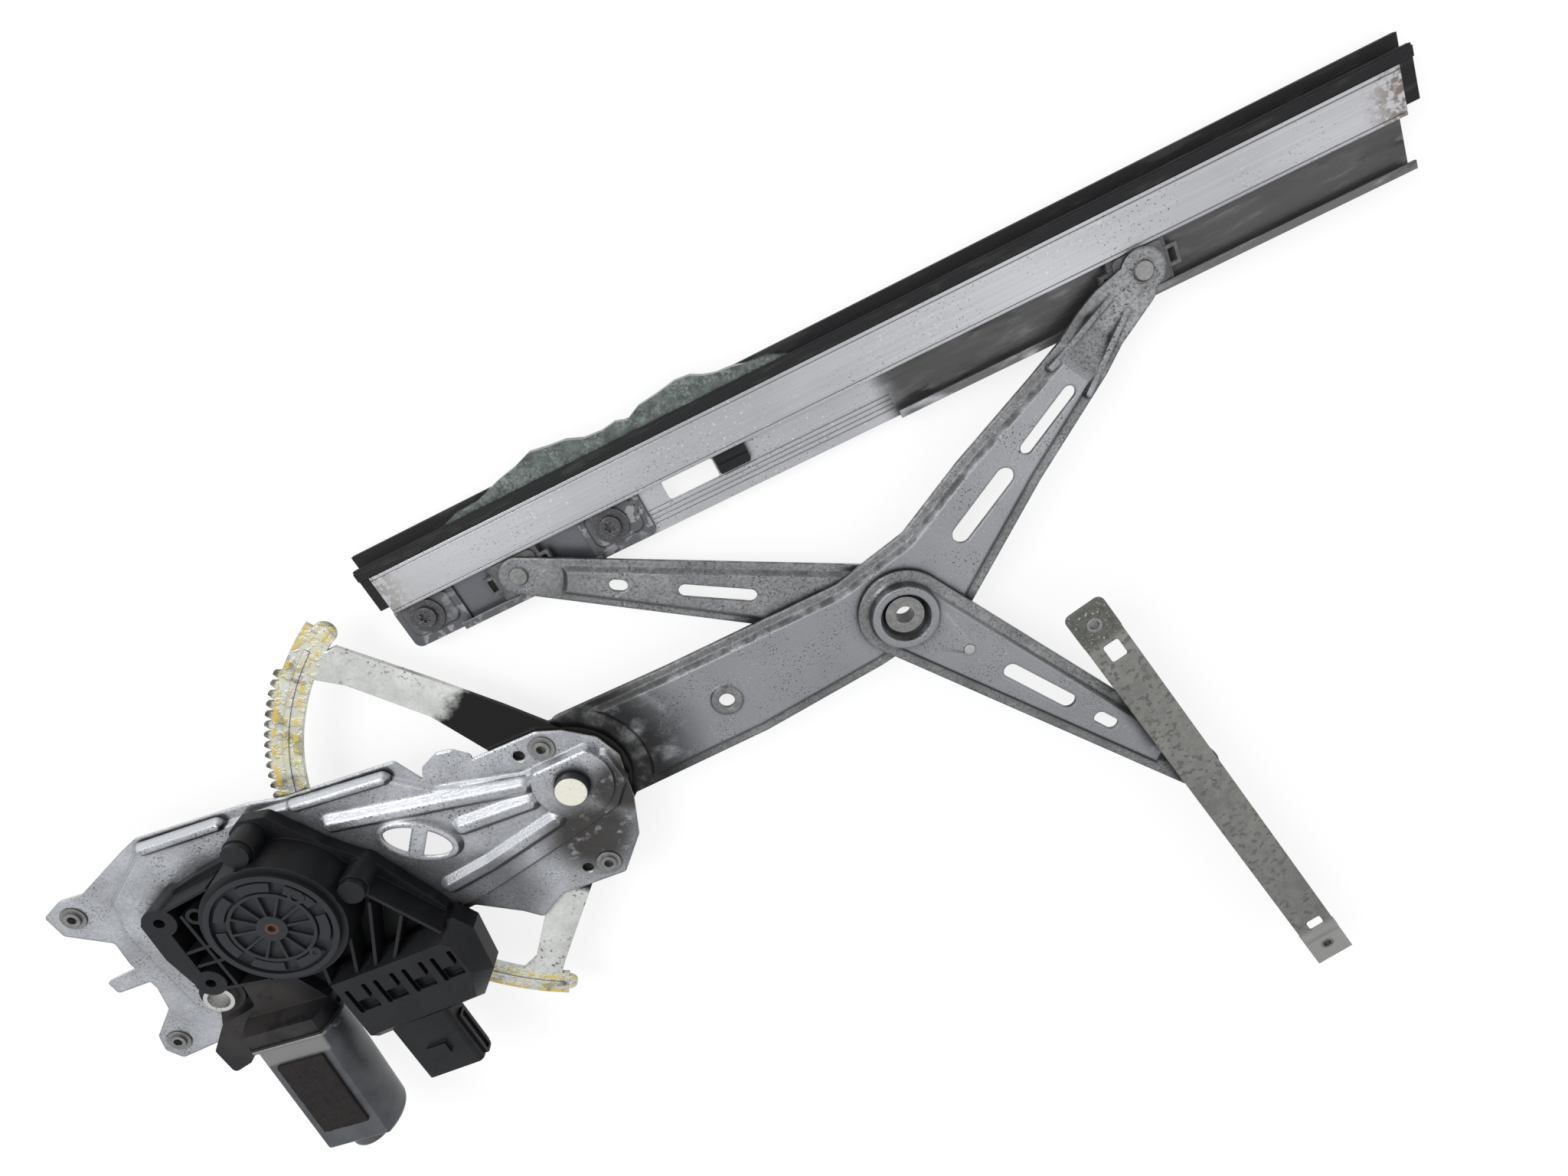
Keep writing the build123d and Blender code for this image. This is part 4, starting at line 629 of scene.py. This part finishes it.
def foam_pad():
    """Soft rattle pad on the motor's can, in place of its plain solid."""
    mesh = bpy.data.meshes.new("rattle_pad")
    form = bmesh.new()
    form.from_mesh(NODES["can_pad"].data)
    form.to_mesh(mesh)
    form.free()
    pad = placed("rattle_pad", mesh)
    remesh = pad.modifiers.new("remesh", "REMESH")
    remesh.mode = "VOXEL"
    remesh.voxel_size = PAD_VOXEL * MM
    smooth = pad.modifiers.new("smooth", "SMOOTH")
    smooth.iterations = 2
    texture = bpy.data.textures.new("crumble", "CLOUDS")
    texture.noise_scale = PAD_GRAIN * MM
    rough = pad.modifiers.new("rough", "DISPLACE")
    rough.texture = texture
    rough.texture_coords = "LOCAL"
    rough.strength = PAD_ROUGH * MM
    rough.mid_level = 0.6
    mesh.materials.append(SLOTS["foam"])
    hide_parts("can_pad")
    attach(pad, "base")


def prism(name, outline, bottom, top):
    """A closed prism on an outline in millimetres."""
    form = bmesh.new()
    floor = [form.verts.new((x * MM, y * MM, bottom * MM)) for x, y in outline]
    roof = [form.verts.new((x * MM, y * MM, top * MM)) for x, y in outline]
    form.faces.new(list(reversed(floor)))
    form.faces.new(roof)
    for index in range(len(outline)):
        after = (index + 1) % len(outline)
        form.faces.new((floor[index], floor[after], roof[after], roof[index]))
    mesh = bpy.data.meshes.new(name)
    form.to_mesh(mesh)
    form.free()
    return placed(name, mesh)


def slot_outline(distance, length, width):
    """A round-ended slot along the front cross arm, at a distance from the cross pivot."""
    across = Vector((-ARM_ALONG[1], ARM_ALONG[0]))
    middle = Vector(CROSS) + ARM_ALONG * distance
    half = (length - width) / 2
    outline = []
    for end in (1, -1):
        for step in range(SLOT_STEPS + 1):
            turn = pi * (step / SLOT_STEPS - 0.5)
            away = ARM_ALONG * (end * (half + width / 2 * cos(turn)))
            away += across * (end * width / 2 * sin(turn))
            outline.append(tuple(middle + away))
    return outline


def ring_outline(distance, radius):
    """A circle on the front cross arm's centre line."""
    middle = Vector(CROSS) + ARM_ALONG * distance
    turns = [2 * pi * step / RING_STEPS for step in range(RING_STEPS)]
    return [(middle[0] + radius * cos(turn), middle[1] + radius * sin(turn)) for turn in turns]


def carried(name, mesh, node, body):
    """A dressed copy that takes the place of a CAD node."""
    made = placed(name, mesh)
    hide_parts(node)
    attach(made, body)
    return made


def front_arm():
    """The front cross arm, its long slot where the photograph has it, a stud in its round hole."""
    mesh = NODES["front_cross_arm"].data.copy()
    form = bmesh.new()
    form.from_mesh(mesh)
    bmesh.ops.remove_doubles(form, verts=form.verts, dist=WELD * MM)
    form.to_mesh(mesh)
    form.free()
    arm = placed("arm_blank", mesh)
    outline = slot_outline(PLUG_AT, PLUG_LENGTH, PLUG_WIDTH)
    plug = prism("plug", outline, PANEL_BOTTOM, PANEL_TOP)
    outline = slot_outline(SLOT_AT, SLOT_LENGTH, SLOT_WIDTH)
    cutter = prism("cutter", outline, PANEL_TOP - CUT_REACH, PANEL_TOP + CUT_REACH)
    outline = ring_outline(STUD_AT, STUD_RADIUS)
    stud = prism("stud", outline, PANEL_BOTTOM, PANEL_TOP + STUD_RISE)
    for tool, kind in ((plug, "UNION"), (stud, "UNION"), (cutter, "DIFFERENCE")):
        step = arm.modifiers.new(kind, "BOOLEAN")
        step.operation = kind
        step.solver = "EXACT"
        step.object = tool
    graph = bpy.context.evaluated_depsgraph_get()
    made = bpy.data.meshes.new_from_object(arm.evaluated_get(graph))
    for blank in (arm, plug, stud, cutter):
        bpy.data.objects.remove(blank)
    made.shade_smooth()
    made.set_sharp_from_angle(angle=radians(SHARP_FROM))
    carried("front_arm", made, "front_cross_arm", "cross_arm")


def tubular_rivet():
    """The cross rivet with its open bore, wider than in the CAD."""
    mesh = NODES["cross_rivet"].data.copy()
    low, high = (Vector(corner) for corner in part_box("cross_rivet"))
    form = bmesh.new()
    form.from_mesh(mesh)
    for vertex in form.verts:
        away = Vector((vertex.co.x - CROSS[0] * MM, vertex.co.y - CROSS[1] * MM))
        if away.length < CAD_BORE_LIMIT * MM:
            share = (high.z - vertex.co.z) / (high.z - low.z)
            away = away.normalized() * (BORE_TOP + BORE_FLARE * share) * MM
            vertex.co.x = CROSS[0] * MM + away[0]
            vertex.co.y = CROSS[1] * MM + away[1]
    form.to_mesh(mesh)
    form.free()
    carried("tubular_rivet", mesh, "cross_rivet", "cross_arm")


def floor():
    """A pale floor: part matte, for the shadow, and part glow, so that it shows white."""
    bottom = cad_low[2] - FLOOR_GAP
    mesh = bpy.data.meshes.new("floor")
    sides = ((-1, -1), (1, -1), (1, 1), (-1, 1))
    corners = [(x * FLOOR_HALF, y * FLOOR_HALF, bottom) for x, y in sides]
    mesh.from_pydata(corners, [], [(0, 1, 2, 3)])
    plane = placed("floor", mesh)
    material = bpy.data.materials.new("floor")
    material.use_nodes = True
    tree = material.node_tree
    tree.nodes.clear()
    output = tree.nodes.new("ShaderNodeOutputMaterial")
    matte = tree.nodes.new("ShaderNodeBsdfDiffuse")
    matte.inputs["Color"].default_value = (FLOOR_GREY, FLOOR_GREY, FLOOR_GREY, 1.0)
    glow = tree.nodes.new("ShaderNodeEmission")
    glow.inputs["Strength"].default_value = 1.0
    mix = tree.nodes.new("ShaderNodeMixShader")
    rays = tree.nodes.new("ShaderNodeLightPath")
    share = tree.nodes.new("ShaderNodeMath")
    share.operation = "MULTIPLY"
    share.inputs[1].default_value = FLOOR_GLOW
    seen = rays.outputs["Is Camera Ray"]
    for kind in ("Is Glossy Ray", "Is Transmission Ray"):
        widest = tree.nodes.new("ShaderNodeMath")
        widest.operation = "MAXIMUM"
        tree.links.new(seen, widest.inputs[0])
        tree.links.new(rays.outputs[kind], widest.inputs[1])
        seen = widest.outputs[0]
    tree.links.new(seen, share.inputs[0])
    tree.links.new(share.outputs[0], mix.inputs["Fac"])
    tree.links.new(matte.outputs[0], mix.inputs[1])
    tree.links.new(glow.outputs[0], mix.inputs[2])
    tree.links.new(mix.outputs[0], output.inputs["Surface"])
    mesh.materials.append(material)


def lamp(name, place, size, power):
    """A soft lamp aimed at the part's middle: place and size in metres, power in watts."""
    data = bpy.data.lights.new(name, "AREA")
    data.size = size
    data.energy = power
    made = placed(name, data)
    made.location = place
    made.rotation_euler = (Vector(MIDDLE) - Vector(place)).to_track_quat("-Z", "Y").to_euler()


def lights():
    """A plain sky, brighter on one side, with a key and a fill lamp."""
    world = bpy.data.worlds.new("studio")
    bpy.context.scene.world = world
    world.use_nodes = True
    tree = world.node_tree
    background = tree.nodes["Background"]
    background.inputs["Color"].default_value = SKY_COLOUR
    place = tree.nodes.new("ShaderNodeTexCoord")
    height = tree.nodes.new("ShaderNodeVectorMath")
    height.operation = "DOT_PRODUCT"
    height.inputs[1].default_value = SKY_BRIGHT_SIDE
    sky = tree.nodes.new("ShaderNodeMapRange")
    sky.interpolation_type = "SMOOTHSTEP"
    for name, setting in SKY_RANGE:
        sky.inputs[name].default_value = setting
    tree.links.new(place.outputs["Generated"], height.inputs[0])
    tree.links.new(height.outputs["Value"], sky.inputs["Value"])
    tree.links.new(sky.outputs["Result"], background.inputs["Strength"])
    lamp("key", (-0.5, 0.9, 1.3), 0.7, 15.0)
    lamp("fill", (1.0, -0.5, 1.1), 1.2, 3.0)


def camera():
    """At the photograph's viewing angle, close above the part with a wide lens."""
    data = bpy.data.cameras.new("camera")
    data.sensor_fit = "HORIZONTAL"
    data.sensor_width = CAMERA_SENSOR
    data.lens = CAMERA_LENS
    data.clip_start = 0.01
    made = placed("camera", data)
    made.location = CAMERA_PLACE
    made.rotation_euler = Euler([radians(turn) for turn in CAMERA_TURN], "XYZ")
    bpy.context.scene.camera = made


foam_pad()
front_arm()
tubular_rivet()
floor()
lights()
camera()
bpy.context.scene.view_settings.view_transform = "Standard"
